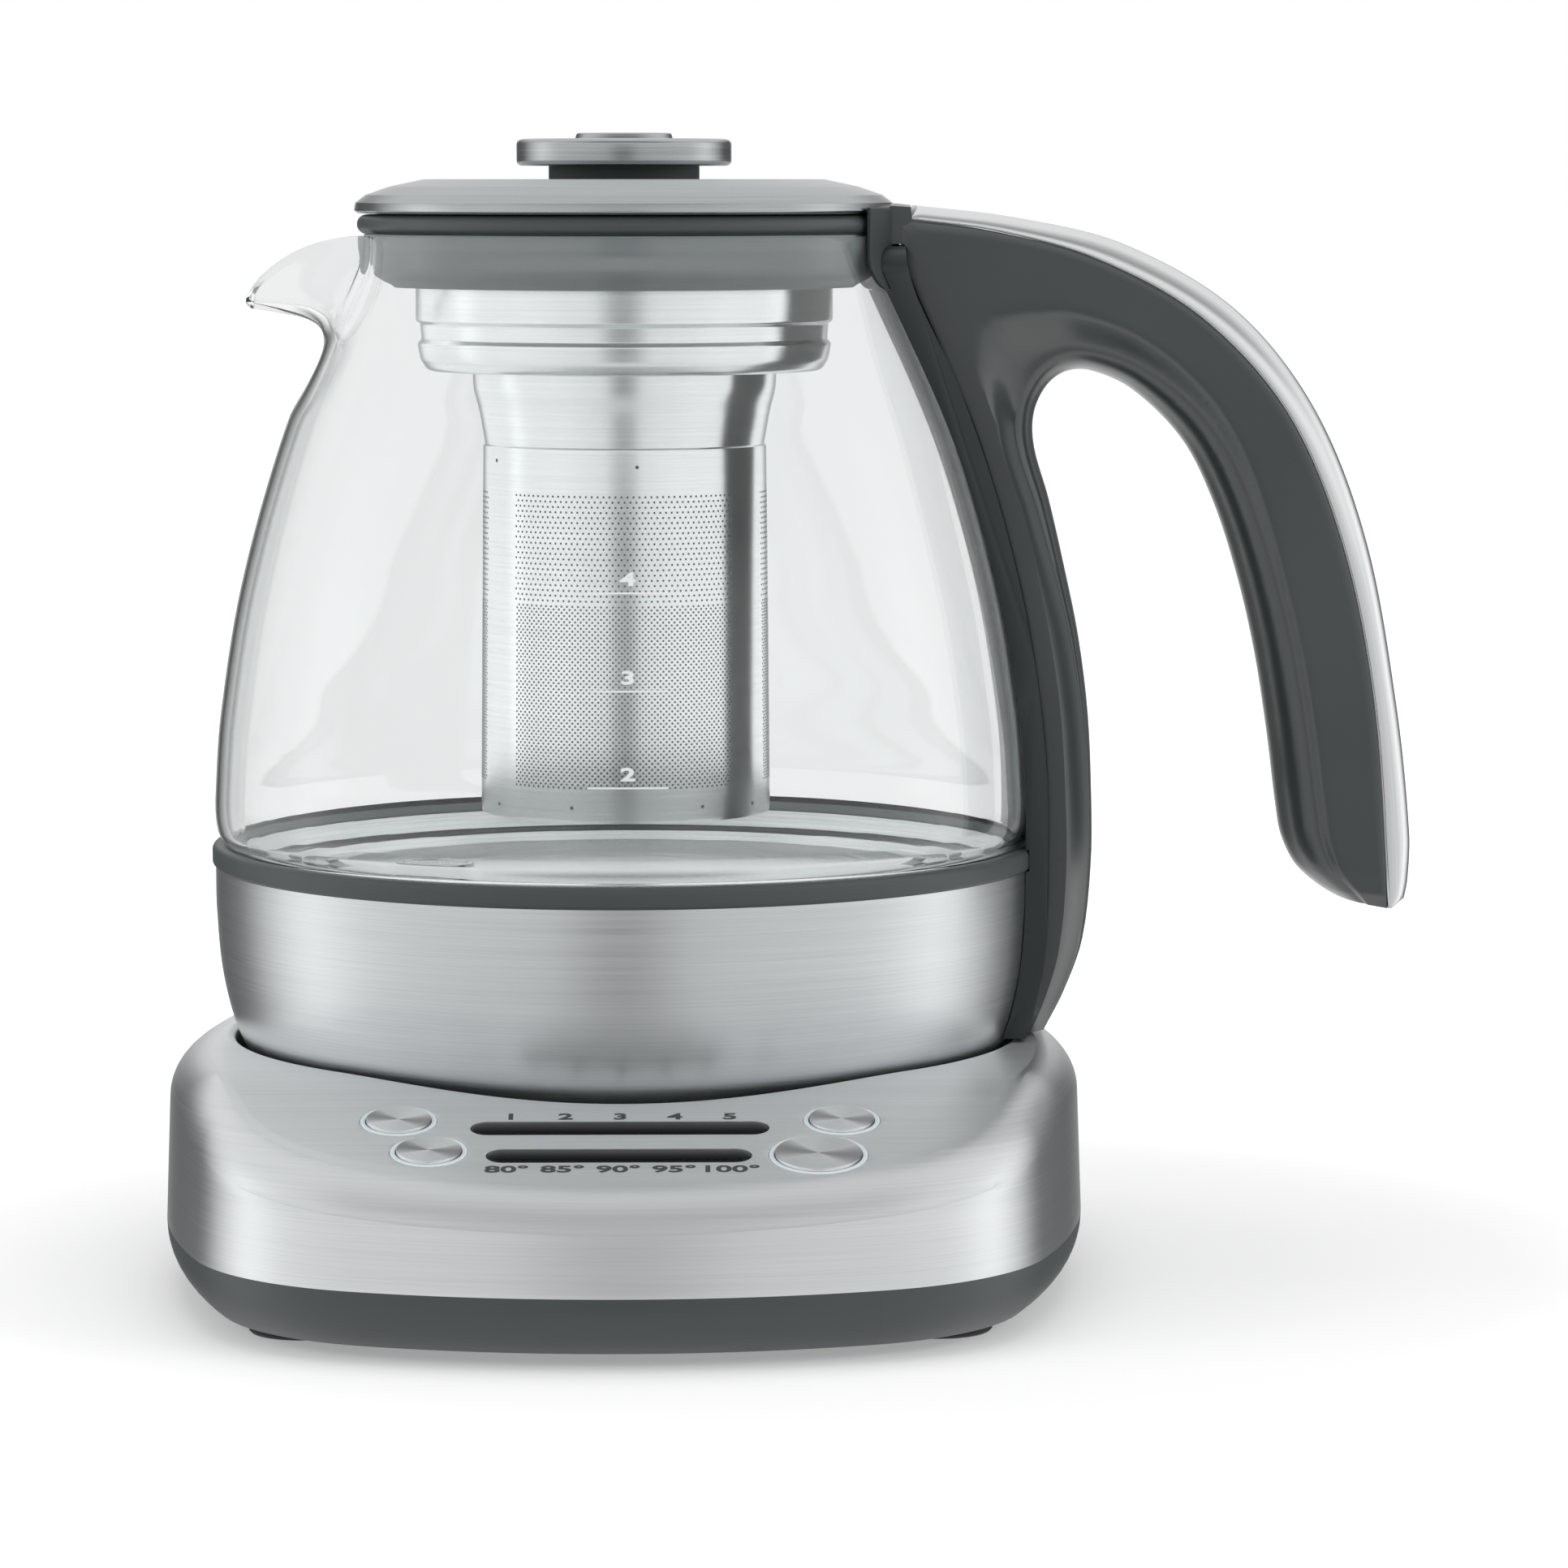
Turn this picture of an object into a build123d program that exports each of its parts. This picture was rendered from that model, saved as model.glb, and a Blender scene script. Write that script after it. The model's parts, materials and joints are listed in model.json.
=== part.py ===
from build123d import *

import os
from math import cos, hypot, radians, sin, tan

# Automatic tea maker: a glass jug with a lift-out infuser, on a powered base with four buttons.
# Millimetres, +Z up. The origin is under the middle of the whole object, on the surface it stands
# on. The jug's handle points along +X and the control panel faces -Y.

# ---------------------------------------------------------------- driving dimensions
# Plan of the base: four large arcs with rounded corners
base_width = 164.0
base_depth = 195.0
base_end_radius = 135.0
base_side_radius = 200.0
base_corner_radius = 45.0
front_reach = 114.0  # from the jug's axis to the front of the base

# Heights of the base
foot_height = 2.3
seam_height = 12.4  # joint between the dark casing and the steel shell
deck_height = 40.9

# Steel shell
shell_wall = 1.2
shell_taper = 2.0  # degrees
shoulder_radius = 7.0
panel_slope = 13.6  # degrees, falling towards the front
panel_break = 61.8  # from the jug's axis to the line where the deck turns down
panel_blend = 80.0
well_radius = 71.2
well_lip = 1.4

# Lower casing
casing_wall = 2.2
casing_floor = 2.5
casing_round = 12.0
lip_height = 3.0
lip_inset = 1.8
foot_radius = 9.5
foot_x = 54.0
foot_y = 60.0
foot_plug_radius = 4.0
foot_plug_proud = 1.0
foot_edge = 0.4

# Well tray, which the jug stands in
tray_floor_top = 30.0
tray_thickness = 2.0
tray_wall = 1.8
post_radius = 5.0
post_circle = 50.0
post_top = 24.0
post_shelf = 3.0
tray_wall_height = 5.0
collar_gap = 0.2

# Round connector in the middle of the tray
socket_radius = 16.0
socket_top = 41.6
socket_flange = 21.0
pin_bore = 4.2
groove_inner = 8.0
groove_outer = 10.6
contact_wall = 0.6
groove_step = 4.0
contact_drop = 2.0
outer_contact_drop = 5.0
socket_edge = 0.5

# Control panel, measured down the slope from the line where the deck turns down
button_row_x = 37.6
upper_row = 18.6
temp_button_x = 31.9
temp_row = 31.8
start_button_x = 33.4
start_row = 33.4
button_radius = 5.5
start_button_radius = 7.3
ring_width = 0.85
button_gap = 0.15
button_travel = 1.0
button_proud = 1.1
button_edge = 0.3
ring_proud = 0.4
time_window_length = 50.4
heat_window_length = 44.4
window_width = 5.6
time_window_row = 21.8
heat_window_row = 33.6
board_depth = 11.0
board_thickness = 1.6
board_length = 100.0
board_width = 30.0
board_row = 29.0
board_post_x = board_length / 2 - 3.0
board_post_rows = (board_row - 7.0, board_row + 9.0)
board_post_radius = 2.4
board_screw_radius = 1.0
board_screw_length = 4.0
board_screw_head = 1.2
frame_thickness = 2.0
frame_end = 3.0
frame_side = 2.0
light_pitch = 9.2
light_height = 1.1
light_length = 3.0
light_width = 1.6
ring_flange = 0.2
window_flange = 1.0
ring_depth = 4.4
button_flange = 0.7
button_foot = 5.9
switch_size = 6.0
switch_height = 3.1
switch_plunger_radius = 1.7
switch_plunger_height = 0.8
window_depth = 3.2
window_proud = 0.2

# Power parts under the tray
power_board_x = 41.0
power_board_length = 30.0
power_board_width = 62.0
power_board_height = 8.6
power_post_radius = 2.5
power_post_inset = 4.0
relay_y = 17.0
relay_length = 19.0
relay_width = 15.5
relay_height = 13.0
relay_round = 0.8
transformer_y = -8.0
core_length = 22.0
core_width = 8.0
coil_length = 15.0
coil_width = 18.0
coil_round = 3.0
coil_step = 2.0
transformer_height = 15.0
buzzer_y = -24.0
buzzer_radius = 5.5
buzzer_height = 7.0
cord_height = 7.1
cord_bore = 2.8
cord_gland_radius = 3.7
gland_flange = 0.8
gland_sink = 1.9
gland_length = 9.0

# Jug: radius and height of the outside, from the bottom up
skirt_wall = 0.9
skirt_outline = [(60.5, 31.0), (66.4, 34.9), (70.6, 41.6), (73.4, 52.0), (74.5, 64.0), (74.6, 71.9)]
band_radius = 75.2
band_height = 3.9
band_round = 0.8
seal_step = 0.8
glass_wall = 1.9
glass_bottom = 75.3
glass_top = 185.4
glass_outline = [(74.6, 84.0), (73.5, 99.0), (69.5, 122.7), (62.0, 149.0), (54.9, 166.3), (49.6, 178.5)]
mouth_radius = 48.9
mouth_height = 3.4

# Spout: reach from the axis, half width, height of the centre and height of the underside
spout_sections = [(44.0, 17.5, 187.0, 168.5), (54.5, 13.0, 183.6, 169.6), (62.0, 9.0, 180.2, 171.2)]
spout_tip = (68.3, 5.6, 175.4, 172.2)
spout_wall = 1.7
lip_line = [(42.3, 185.4), (54.1, 183.4), (62.5, 179.4), (68.6, 173.3)]

# Heater
plate_wall = 0.8
plate_outline = [(53.0, 69.6), (55.5, 68.4), (60.0, 68.4), (62.5, 70.2), (66.5, 71.0), (70.4, 74.0)]
plate_rim = 72.4
spreader_thickness = 3.2
element_radius = 45.0
element_tube = 3.2
sensor_x = -35.0
sensor_radius = 7.2
sensor_neck = 5.0
sensor_proud = 0.8
sensor_depth = 5.0
sensor_edge = 0.4
cutout_radius = 9.0
cutout_thickness = 4.0
cutout_depth = 9.0
element_arc = 310

# Floor of the jug and its connector
jug_floor_bottom = 30.5
jug_floor_thickness = 2.6
floor_post_circle = 34.0
floor_post_radius = 3.6
floor_post_top = 50.0
floor_screw_length = 23.0
floor_screw_bite = 8.0
spreader_post_step = 0.6
floor_lip = 1.4
floor_lip_height = 1.5
plug_radius = 24.4
plug_top = 45.0
plug_wall = 2.2
plug_flange = 2.6
plug_pin_step = 2.0
plug_ring_step = 6.0
plug_pin_edge = 0.6

# Infuser
rim_radius = 48.2
rim_bottom = 185.7
rim_top = 189.2
rim_round = 1.6
seal_outline = [(46.7, 183.0), (46.0, 181.3), (45.0, 178.4), (42.4, 176.7), (41.4, 175.9)]
collar_radius = 37.7
collar_flange = 1.3
collar_outline = [(37.7, 170.1), (37.0, 169.6), (36.6, 166.6), (37.3, 166.0), (36.9, 163.5),
                  (36.3, 161.8)]
collar_floor_radius = 35.0
collar_floor_bottom = 160.9
steel_sheet = 0.6
neck_radius = 27.5
neck_flange = 2.0
neck_outline = [(27.4, 157.6), (26.4, 154.0), (25.7, 150.3), (25.4, 147.8)]
screen_top = 147.2
screen_top_radius = 25.6
screen_bottom = 81.3
screen_bottom_radius = 26.3
cup_height = 5.0

# Lid
lid_sheet = 0.8
lid_outline = [(36.1, 195.5), (42.3, 194.2), (46.2, 192.7), (48.6, 190.7)]
lid_edge = (47.7, 189.5)
lid_gap = 0.5
liner_thickness = 1.4
liner_skirt_depth = 4.5
stem_radius = 13.6
knob_radius = 19.4
knob_bottom = 197.9
knob_top = 202.6
knob_disc_radius = 8.5
knob_disc_top = 203.8
knob_round = 0.8
knob_skin = 2.0
knob_disc_round = 0.4

# Handle, in the jug's own side plane: reach from the axis and height
spine_half_width = 20.0
spine_stand = 1.4
spine_top = 183.6
grip_half_width = 13.5
grip_round = 4.0
handle_screw_heights = (52.0, 64.0)
handle_screw_bite = 7.0
strip_outer = [(51.5, 190.9), (71.0, 188.6), (89.9, 183.9), (109.9, 172.2), (124.2, 154.5),
               (133.7, 130.9), (139.5, 101.1), (142.2, 71.0)]
strip_inner = [(51.5, 188.3), (67.0, 186.2), (84.6, 181.3), (103.3, 171.0), (118.9, 154.0),
               (129.1, 130.2), (135.2, 100.9), (138.3, 60.0)]
grip_tip = [(141.2, 65.8), (138.0, 64.1), (130.0, 65.3), (122.6, 70.6), (119.2, 77.2)]
grip_inside = [(117.0, 95.2), (111.0, 124.9), (101.1, 148.6), (92.0, 158.2), (82.2, 161.0),
               (75.3, 157.0), (74.0, 149.5), (78.8, 130.9), (83.3, 107.1), (84.9, 80.0),
               (83.6, 58.0), (79.8, 47.5), (76.6, 41.5)]
head_top = (46.4, 191.4)
clip_angle = 28.0
clip_thickness = 0.9
clip_bottom = 176.0
clip_top = 190.5

# Clearances and fasteners
overrun = 1.0  # how far a cut runs past what it cuts
fit_gap = 0.1
seat_gap = 0.3
screw_radius = 1.5
screw_head_radius = 2.8
screw_head_height = 2.0

# ---------------------------------------------------------------- places worked out from them
handle_reach = max(reach for reach, height in strip_outer)
jug_x = (base_width / 2 - handle_reach) / 2
jug_y = front_reach - base_depth / 2
jug_axis = Axis((jug_x, jug_y, 0), (0, 0, 1))
jug_side = Plane(origin=(jug_x, jug_y, 0), x_dir=(1, 0, 0), z_dir=(0, -1, 0))
panel = Plane(origin=(jug_x, jug_y - panel_break, deck_height), x_dir=(1, 0, 0),
              z_dir=(0, -sin(radians(panel_slope)), cos(radians(panel_slope))))
panel_up = Axis(panel.origin, panel.z_dir)
band_bottom = skirt_outline[-1][1]
band_top = band_bottom + band_height
tray_bottom = tray_floor_top - tray_thickness
tray_radius = well_radius + shell_wall + collar_gap + tray_wall
tray_wall_top = tray_floor_top + tray_wall_height
seal_bottom = plate_outline[-1][1]
plate_under = plate_outline[0][1] - plate_wall
spreader_bottom = plate_under - spreader_thickness
jug_floor_top = jug_floor_bottom + jug_floor_thickness
board_top = -board_depth

buttons = {
    "steep": (-button_row_x, -upper_row, button_radius),
    "temp": (-temp_button_x, -temp_row, button_radius),
    "timer": (button_row_x, -upper_row, button_radius),
    "start": (start_button_x, -start_row, start_button_radius),
}
windows = {
    "time_window": (-time_window_row, time_window_length),
    "heat_window": (-heat_window_row, heat_window_length),
}


# ---------------------------------------------------------------- shared outlines
def outline(points, plane=jug_side):
    """A closed face through points, on the jug's side plane unless another is named."""
    with BuildSketch(plane) as profile:
        with BuildLine():
            Polyline(points, close=True)
        make_face()
    return profile.sketch


def ring(inner, outer, low, high):
    """Half section of a plain ring or disc about the jug's axis."""
    return outline([(inner, low), (outer, low), (outer, high), (inner, high)])


def base_plan(height, inset):
    """Plan of the base at a height, set in all round by inset."""
    with BuildSketch(Plane.XY.offset(height)) as plan:
        with Locations((jug_x, base_end_radius - base_depth / 2)):
            Circle(base_end_radius - inset)
        with Locations((jug_x, base_depth / 2 - base_end_radius)):
            Circle(base_end_radius - inset, mode=Mode.INTERSECT)
        with Locations((jug_x + base_width / 2 - base_side_radius, 0)):
            Circle(base_side_radius - inset, mode=Mode.INTERSECT)
        with Locations((jug_x - base_width / 2 + base_side_radius, 0)):
            Circle(base_side_radius - inset, mode=Mode.INTERSECT)
        fillet(plan.vertices(), base_corner_radius - inset)
    return plan.sketch


def deck_side(inset):
    """Side view of everything under the deck and the sloping panel, set in by inset."""
    turn = jug_y - panel_break + inset * tan(radians(panel_slope / 2))
    top = deck_height - inset
    ahead = -0.6 * base_depth
    front = top - (turn - ahead) * tan(radians(panel_slope))
    with BuildSketch(Plane.YZ) as side:
        with BuildLine():
            Polyline((-ahead, 0), (-ahead, top), (turn, top), (ahead, front), (ahead, 0), close=True)
        make_face()
        fillet(side.vertices().sort_by_distance((0, turn, top))[0], panel_blend - inset)
    return side.sketch


def shell_form(inset):
    """The steel shell's outside as a solid, or the space inside its wall."""
    with BuildPart() as form:
        extrude(base_plan(seam_height, inset), amount=deck_height - seam_height, taper=shell_taper)
        extrude(deck_side(inset), amount=base_width + base_depth, both=True, mode=Mode.INTERSECT)
        tops = form.faces().filter_by(lambda face: face.normal_at().Z > 0.9)
        fillet(tops.edges().filter_by(GeomType.LINE, reverse=True), shoulder_radius - inset)
    return form.part


def casing_form(inset):
    """The lower casing's outside as a solid, or the space inside its wall."""
    with BuildPart() as form:
        extrude(base_plan(inset, inset), amount=seam_height - inset)
        fillet(form.faces().sort_by(Axis.Z)[0].edges(), casing_round - inset)
    return form.part


def glass_side(grow):
    """Half section of everything inside the glass's outside, grown outwards by grow."""
    points = [(radius + grow, height) for radius, height in glass_outline]
    foot = (points[0][0], glass_bottom)
    neck = (mouth_radius + grow, glass_top - mouth_height)
    with BuildSketch(jug_side) as side:
        with BuildLine():
            Line((0, glass_bottom), foot)
            Line(foot, points[0])
            Spline(points + [neck], tangents=[(0, 1), (0, 1)])
            Line(neck, (neck[0], glass_top))
            Line((neck[0], glass_top), (0, glass_top))
            Line((0, glass_top), (0, glass_bottom))
        make_face()
    return side.sketch


def skirt_side(grow):
    """Half section of everything inside the steel skirt's outside, grown outwards by grow."""
    points = [(radius + grow, height) for radius, height in skirt_outline]
    low = points[0][1]
    high = points[-1][1]
    with BuildSketch(jug_side) as side:
        with BuildLine():
            Line((0, low), points[0])
            Spline(points)
            Line(points[-1], (0, high))
            Line((0, high), (0, low))
        make_face()
    return side.sketch


def stud(across, along, radius, low, high, mode=Mode.ADD):
    """A round stud square to the control panel, between two depths under its surface."""
    with BuildSketch(panel.offset(low)) as section:
        with Locations((across, along)):
            Circle(radius)
    extrude(section.sketch, amount=high - low, mode=mode)


def sensor_stud(radius, low, high, mode=Mode.ADD):
    """A round stud on the temperature sensor's own line, beside the jug's axis."""
    with BuildSketch(Plane.XY.offset(low)) as section:
        with Locations((jug_x + sensor_x, jug_y)):
            Circle(radius)
    extrude(section.sketch, amount=high - low, mode=mode)


def spout_form(grow):
    """The spout's outside as a solid along its run from the neck, grown by grow."""
    sections = spout_sections + [spout_tip]
    if grow < 0:
        sections = sections + [(spout_tip[0] + 2 * spout_wall,) + spout_tip[1:]]
    with BuildPart() as form:
        for reach, half_width, centre, under in sections:
            with BuildSketch(Plane(origin=(jug_x - reach, jug_y, centre), x_dir=(0, 1, 0),
                                   z_dir=(-1, 0, 0))) as section:
                Ellipse(half_width + grow, centre - under + grow)
        loft()
    return form.part


def strip_side(gap):
    """Side view of everything outside the handle strip's inner line, moved inwards by gap."""
    inner = [(reach - 0.7 * gap, height - 0.7 * gap) for reach, height in strip_inner]
    far = 1.5 * handle_reach
    with BuildSketch(jug_side) as side:
        with BuildLine():
            Spline(inner)
            Polyline(inner[-1], (far, inner[-1][1]), (far, far), (inner[0][0], far), inner[0])
        make_face()
    return side.sketch


def spine_line(gap):
    """The handle spine's outer line: the jug's own outline, stood off by the spine and a gap."""
    stand = spine_stand + gap
    points = [(radius + stand, height) for radius, height in skirt_outline[2:] + glass_outline]
    return points + [(mouth_radius + stand, spine_top)]


def clip_form(inner, outer, margin):
    """The rim clip: a shell round part of the glass's neck, between two distances from the glass."""
    far = 2 * mouth_radius
    turn = radians(clip_angle)
    with BuildPart() as form:
        revolve(glass_side(outer), axis=jug_axis)
        revolve(ring(0, mouth_radius + outer, glass_top, clip_top), axis=jug_axis)
        revolve(glass_side(inner), axis=jug_axis, mode=Mode.SUBTRACT)
        revolve(ring(0, mouth_radius + inner, glass_top, clip_top), axis=jug_axis, mode=Mode.SUBTRACT)
        with BuildSketch(Plane.XY.offset(clip_bottom - margin)) as wedge:
            with BuildLine():
                Polyline((jug_x, jug_y), (jug_x + far * cos(turn), jug_y + far * sin(turn)),
                         (jug_x + far * cos(turn), jug_y - far * sin(turn)), close=True)
            make_face()
        extrude(amount=far, mode=Mode.INTERSECT)
    return form.part


def screw_seat(height):
    """Reach of the skirt's inside at a height, where a handle screw's head bears."""
    lower = max(point for point in skirt_outline if point[1] <= height)
    upper = min(point for point in skirt_outline if point[1] > height)
    share = (height - lower[1]) / (upper[1] - lower[1])
    return lower[0] + share * (upper[0] - lower[0]) - skirt_wall


def below(height):
    """A sheet much larger than the object, to cut away what lies under a height."""
    with BuildSketch(Plane.XY.offset(height)) as sheet:
        with Locations((jug_x, 0)):
            Rectangle(2 * base_width, 2 * base_depth)
    return sheet.sketch


def cord_circle(radius):
    """A circle about the cord's way out, at the back of the casing."""
    with BuildSketch(Plane.XZ.offset(-base_depth / 2)) as circle:
        with Locations((jug_x, cord_height)):
            Circle(radius)
    return circle.sketch


def jug_outside(grow):
    """The jug's outside as a solid, grown by grow: skirt, band and glass."""
    with BuildPart() as form:
        revolve(glass_side(grow), axis=jug_axis)
        revolve(skirt_side(grow), axis=jug_axis)
        revolve(ring(0, band_radius + grow, band_bottom, band_top), axis=jug_axis)
    return form.part


def control_holes(margin, window_margin):
    """Outlines of the four buttons' rings and of the two windows, each grown by its margin."""
    with BuildSketch(panel) as holes:
        for across, along, radius in buttons.values():
            with Locations((across, along)):
                Circle(radius + button_gap + ring_width + margin)
        for along, length in windows.values():
            with Locations((0, along)):
                SlotOverall(length + 2 * window_margin, window_width + 2 * window_margin)
    return holes.sketch


def around(radius, count, start=0.0):
    """Points spaced evenly round the jug's axis."""
    turns = [radians(start + 360 * step / count) for step in range(count)]
    return [(jug_x + radius * cos(turn), jug_y + radius * sin(turn)) for turn in turns]


def on_well(face):
    """Whether a face is part of the well's inner wall."""
    middle = face.position_at(0.5, 0.5)
    return abs(hypot(middle.X - jug_x, middle.Y - jug_y) - well_radius) < fit_gap


def save(piece, name):
    """Labels a finished piece and writes it."""
    piece.part.label = name
    export_step(piece.part, f"parts/{name}.step")


os.makedirs("parts", exist_ok=True)
posts = around(post_circle, 3, 180)
floor_posts = around(floor_post_circle, 3)
power_posts = [(jug_x + power_board_x + side * (power_board_length / 2 - power_post_inset),
                jug_y + end * (power_board_width / 2 - power_post_inset))
               for side in (-1, 1) for end in (-1, 1)]
feet = [(jug_x + side * foot_x, end * foot_y) for side in (-1, 1) for end in (-1, 1)]

# ---------------------------------------------------------------- base: outer pieces
with BuildPart() as well_collar:
    revolve(ring(well_radius, well_radius + shell_wall, tray_floor_top, deck_height), axis=jug_axis)
    add(shell_form(0), mode=Mode.INTERSECT)

with BuildPart() as base_shell:
    add(shell_form(0))
    add(shell_form(shell_wall), mode=Mode.SUBTRACT)
    revolve(ring(0, well_radius, 0, deck_height + overrun), axis=jug_axis, mode=Mode.SUBTRACT)
    add(well_collar.part)
    extrude(control_holes(fit_gap, fit_gap), amount=board_depth / 2, both=True, mode=Mode.SUBTRACT)
    mouth = base_shell.faces().filter_by(GeomType.CYLINDER).filter_by(on_well)
    rim_level = (deck_height + tray_floor_top) / 2
    fillet(mouth.edges().filter_by(lambda edge: edge.center().Z > rim_level), well_lip)
save(base_shell, "base_shell")

with BuildPart() as casing_hollow:
    add(casing_form(casing_wall))
    extrude(below(foot_height + casing_floor), amount=-base_depth, mode=Mode.SUBTRACT)

with BuildPart() as base_casing:
    add(casing_form(0))
    extrude(below(foot_height), amount=-base_depth, mode=Mode.SUBTRACT)
    add(casing_hollow.part, mode=Mode.SUBTRACT)
    extrude(base_plan(seam_height - lip_height, lip_inset), amount=2 * lip_height)
    extrude(base_plan(seam_height - lip_height, lip_inset + casing_wall), amount=2 * lip_height,
            mode=Mode.SUBTRACT)
    with Locations([(x, y, foot_height) for x, y in posts]):
        Cylinder(post_radius, post_top - foot_height, align=(Align.CENTER, Align.CENTER, Align.MIN))
    with Locations([(x, y, foot_height) for x, y in posts]):
        Cylinder(screw_head_radius + seat_gap, post_top - foot_height - post_shelf,
                 align=(Align.CENTER, Align.CENTER, Align.MIN), mode=Mode.SUBTRACT)
        Cylinder(screw_radius + fit_gap, post_top, align=(Align.CENTER, Align.CENTER, Align.MIN),
                 mode=Mode.SUBTRACT)
    with Locations([(x, y, 0) for x, y in feet]):
        Cylinder(foot_plug_radius + fit_gap, foot_height + 2 * casing_floor,
                 align=(Align.CENTER, Align.CENTER, Align.MIN), mode=Mode.SUBTRACT)
    with Locations([(x, y, foot_height) for x, y in power_posts]):
        Cylinder(power_post_radius, power_board_height - foot_height,
                 align=(Align.CENTER, Align.CENTER, Align.MIN))
    extrude(cord_circle(cord_gland_radius + fit_gap), amount=gland_length, mode=Mode.SUBTRACT)
    extrude(cord_circle(cord_gland_radius + gland_flange + fit_gap), amount=gland_sink,
            mode=Mode.SUBTRACT)
save(base_casing, "base_casing")

with BuildPart() as rubber_feet:
    with Locations([(x, y, 0) for x, y in feet]):
        Cylinder(foot_radius, foot_height, align=(Align.CENTER, Align.CENTER, Align.MIN))
    chamfer(rubber_feet.faces().sort_by(Axis.Z)[:4].edges(), foot_edge)
    with Locations([(x, y, 0) for x, y in feet]):
        Cylinder(foot_plug_radius, foot_height + casing_floor + foot_plug_proud,
                 align=(Align.CENTER, Align.CENTER, Align.MIN))
save(rubber_feet, "rubber_feet")

with BuildPart() as cord_gland:
    extrude(cord_circle(cord_gland_radius + gland_flange), amount=gland_sink - fit_gap)
    extrude(cord_circle(cord_gland_radius), amount=gland_length)
    extrude(cord_circle(cord_bore), amount=gland_length, mode=Mode.SUBTRACT)
save(cord_gland, "cord_gland")

with BuildPart() as well_tray:
    revolve(ring(socket_radius + fit_gap, tray_radius, tray_bottom, tray_floor_top), axis=jug_axis)
    revolve(ring(well_radius + shell_wall + collar_gap, tray_radius, tray_floor_top, tray_wall_top),
            axis=jug_axis)
    with Locations([(x, y, post_top) for x, y in posts]):
        Cylinder(post_radius, tray_bottom - post_top, align=(Align.CENTER, Align.CENTER, Align.MIN))
        Cylinder(screw_radius + fit_gap, tray_bottom - post_top,
                 align=(Align.CENTER, Align.CENTER, Align.MIN), mode=Mode.SUBTRACT)
save(well_tray, "well_tray")

with BuildPart() as tray_screws:
    with Locations([(x, y, post_top - post_shelf) for x, y in posts]):
        Cylinder(screw_head_radius, screw_head_height, align=(Align.CENTER, Align.CENTER, Align.MAX))
        Cylinder(screw_radius, tray_bottom - post_top + post_shelf - seat_gap,
                 align=(Align.CENTER, Align.CENTER, Align.MIN))
save(tray_screws, "tray_screws")

with BuildPart() as socket_post:
    revolve(ring(0, socket_radius, tray_bottom - tray_thickness, socket_top), axis=jug_axis)
    revolve(ring(0, socket_flange, tray_bottom - tray_thickness, tray_bottom), axis=jug_axis)
    revolve(ring(0, pin_bore, tray_floor_top, socket_top), axis=jug_axis, mode=Mode.SUBTRACT)
    revolve(ring(groove_inner, groove_outer, tray_floor_top + groove_step, socket_top), axis=jug_axis,
            mode=Mode.SUBTRACT)
    top_rims = socket_post.faces().sort_by(Axis.Z)[-1].outer_wire().edges()
    chamfer(top_rims, socket_edge)
save(socket_post, "socket_post")

with BuildPart() as socket_contacts:
    contact_top = socket_top - contact_drop
    groove_floor = tray_floor_top + groove_step
    revolve(ring(pin_bore - contact_wall, pin_bore, tray_floor_top, contact_top), axis=jug_axis)
    revolve(ring(groove_inner, groove_inner + contact_wall, groove_floor, contact_top), axis=jug_axis)
    revolve(ring(groove_outer - contact_wall, groove_outer, groove_floor,
                 socket_top - outer_contact_drop), axis=jug_axis)
save(socket_contacts, "socket_contacts")

# ---------------------------------------------------------------- base: control panel
with BuildPart() as panel_plate:
    with BuildSketch(panel.offset(-shell_wall - frame_thickness)) as plate_plan:
        with Locations((0, -board_row)):
            Rectangle(board_length + 2 * frame_end, board_width + 2 * frame_side)
    extrude(amount=2 * frame_thickness)
    add(shell_form(shell_wall + fit_gap), mode=Mode.INTERSECT)
    revolve(ring(0, tray_radius + seat_gap, 0, deck_height), axis=jug_axis, mode=Mode.SUBTRACT)

with BuildPart() as control_frame:
    add(panel_plate.part)
    for across in (-board_post_x, board_post_x):
        for along in board_post_rows:
            stud(across, -along, board_post_radius, board_top, -shell_wall - frame_thickness / 2)
            stud(across, -along, board_screw_radius + fit_gap, board_top,
                 board_top + board_screw_length + overrun, mode=Mode.SUBTRACT)
    extrude(control_holes(ring_flange + 2 * fit_gap, window_flange + 2 * fit_gap),
            amount=board_depth - 0.5, both=True, mode=Mode.SUBTRACT)
save(control_frame, "control_frame")

for name, (along, length) in windows.items():
    with BuildPart() as window:
        with BuildSketch(panel.offset(-window_depth)) as lens:
            with Locations((0, along)):
                SlotOverall(length, window_width)
        extrude(amount=window_depth + window_proud)
        with BuildSketch(panel.offset(-window_depth)) as rear_lens:
            with Locations((0, along)):
                SlotOverall(length + 2 * window_flange, window_width + 2 * window_flange)
        extrude(amount=window_depth - shell_wall - 2 * fit_gap)
    save(window, name)

    with BuildPart() as lights:
        with BuildSketch(panel.offset(board_top)) as light_plan:
            with Locations([(step * light_pitch, along) for step in range(-2, 3)]):
                Rectangle(light_length, light_width)
        extrude(amount=light_height)
    save(lights, name.replace("window", "lights"))

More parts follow.
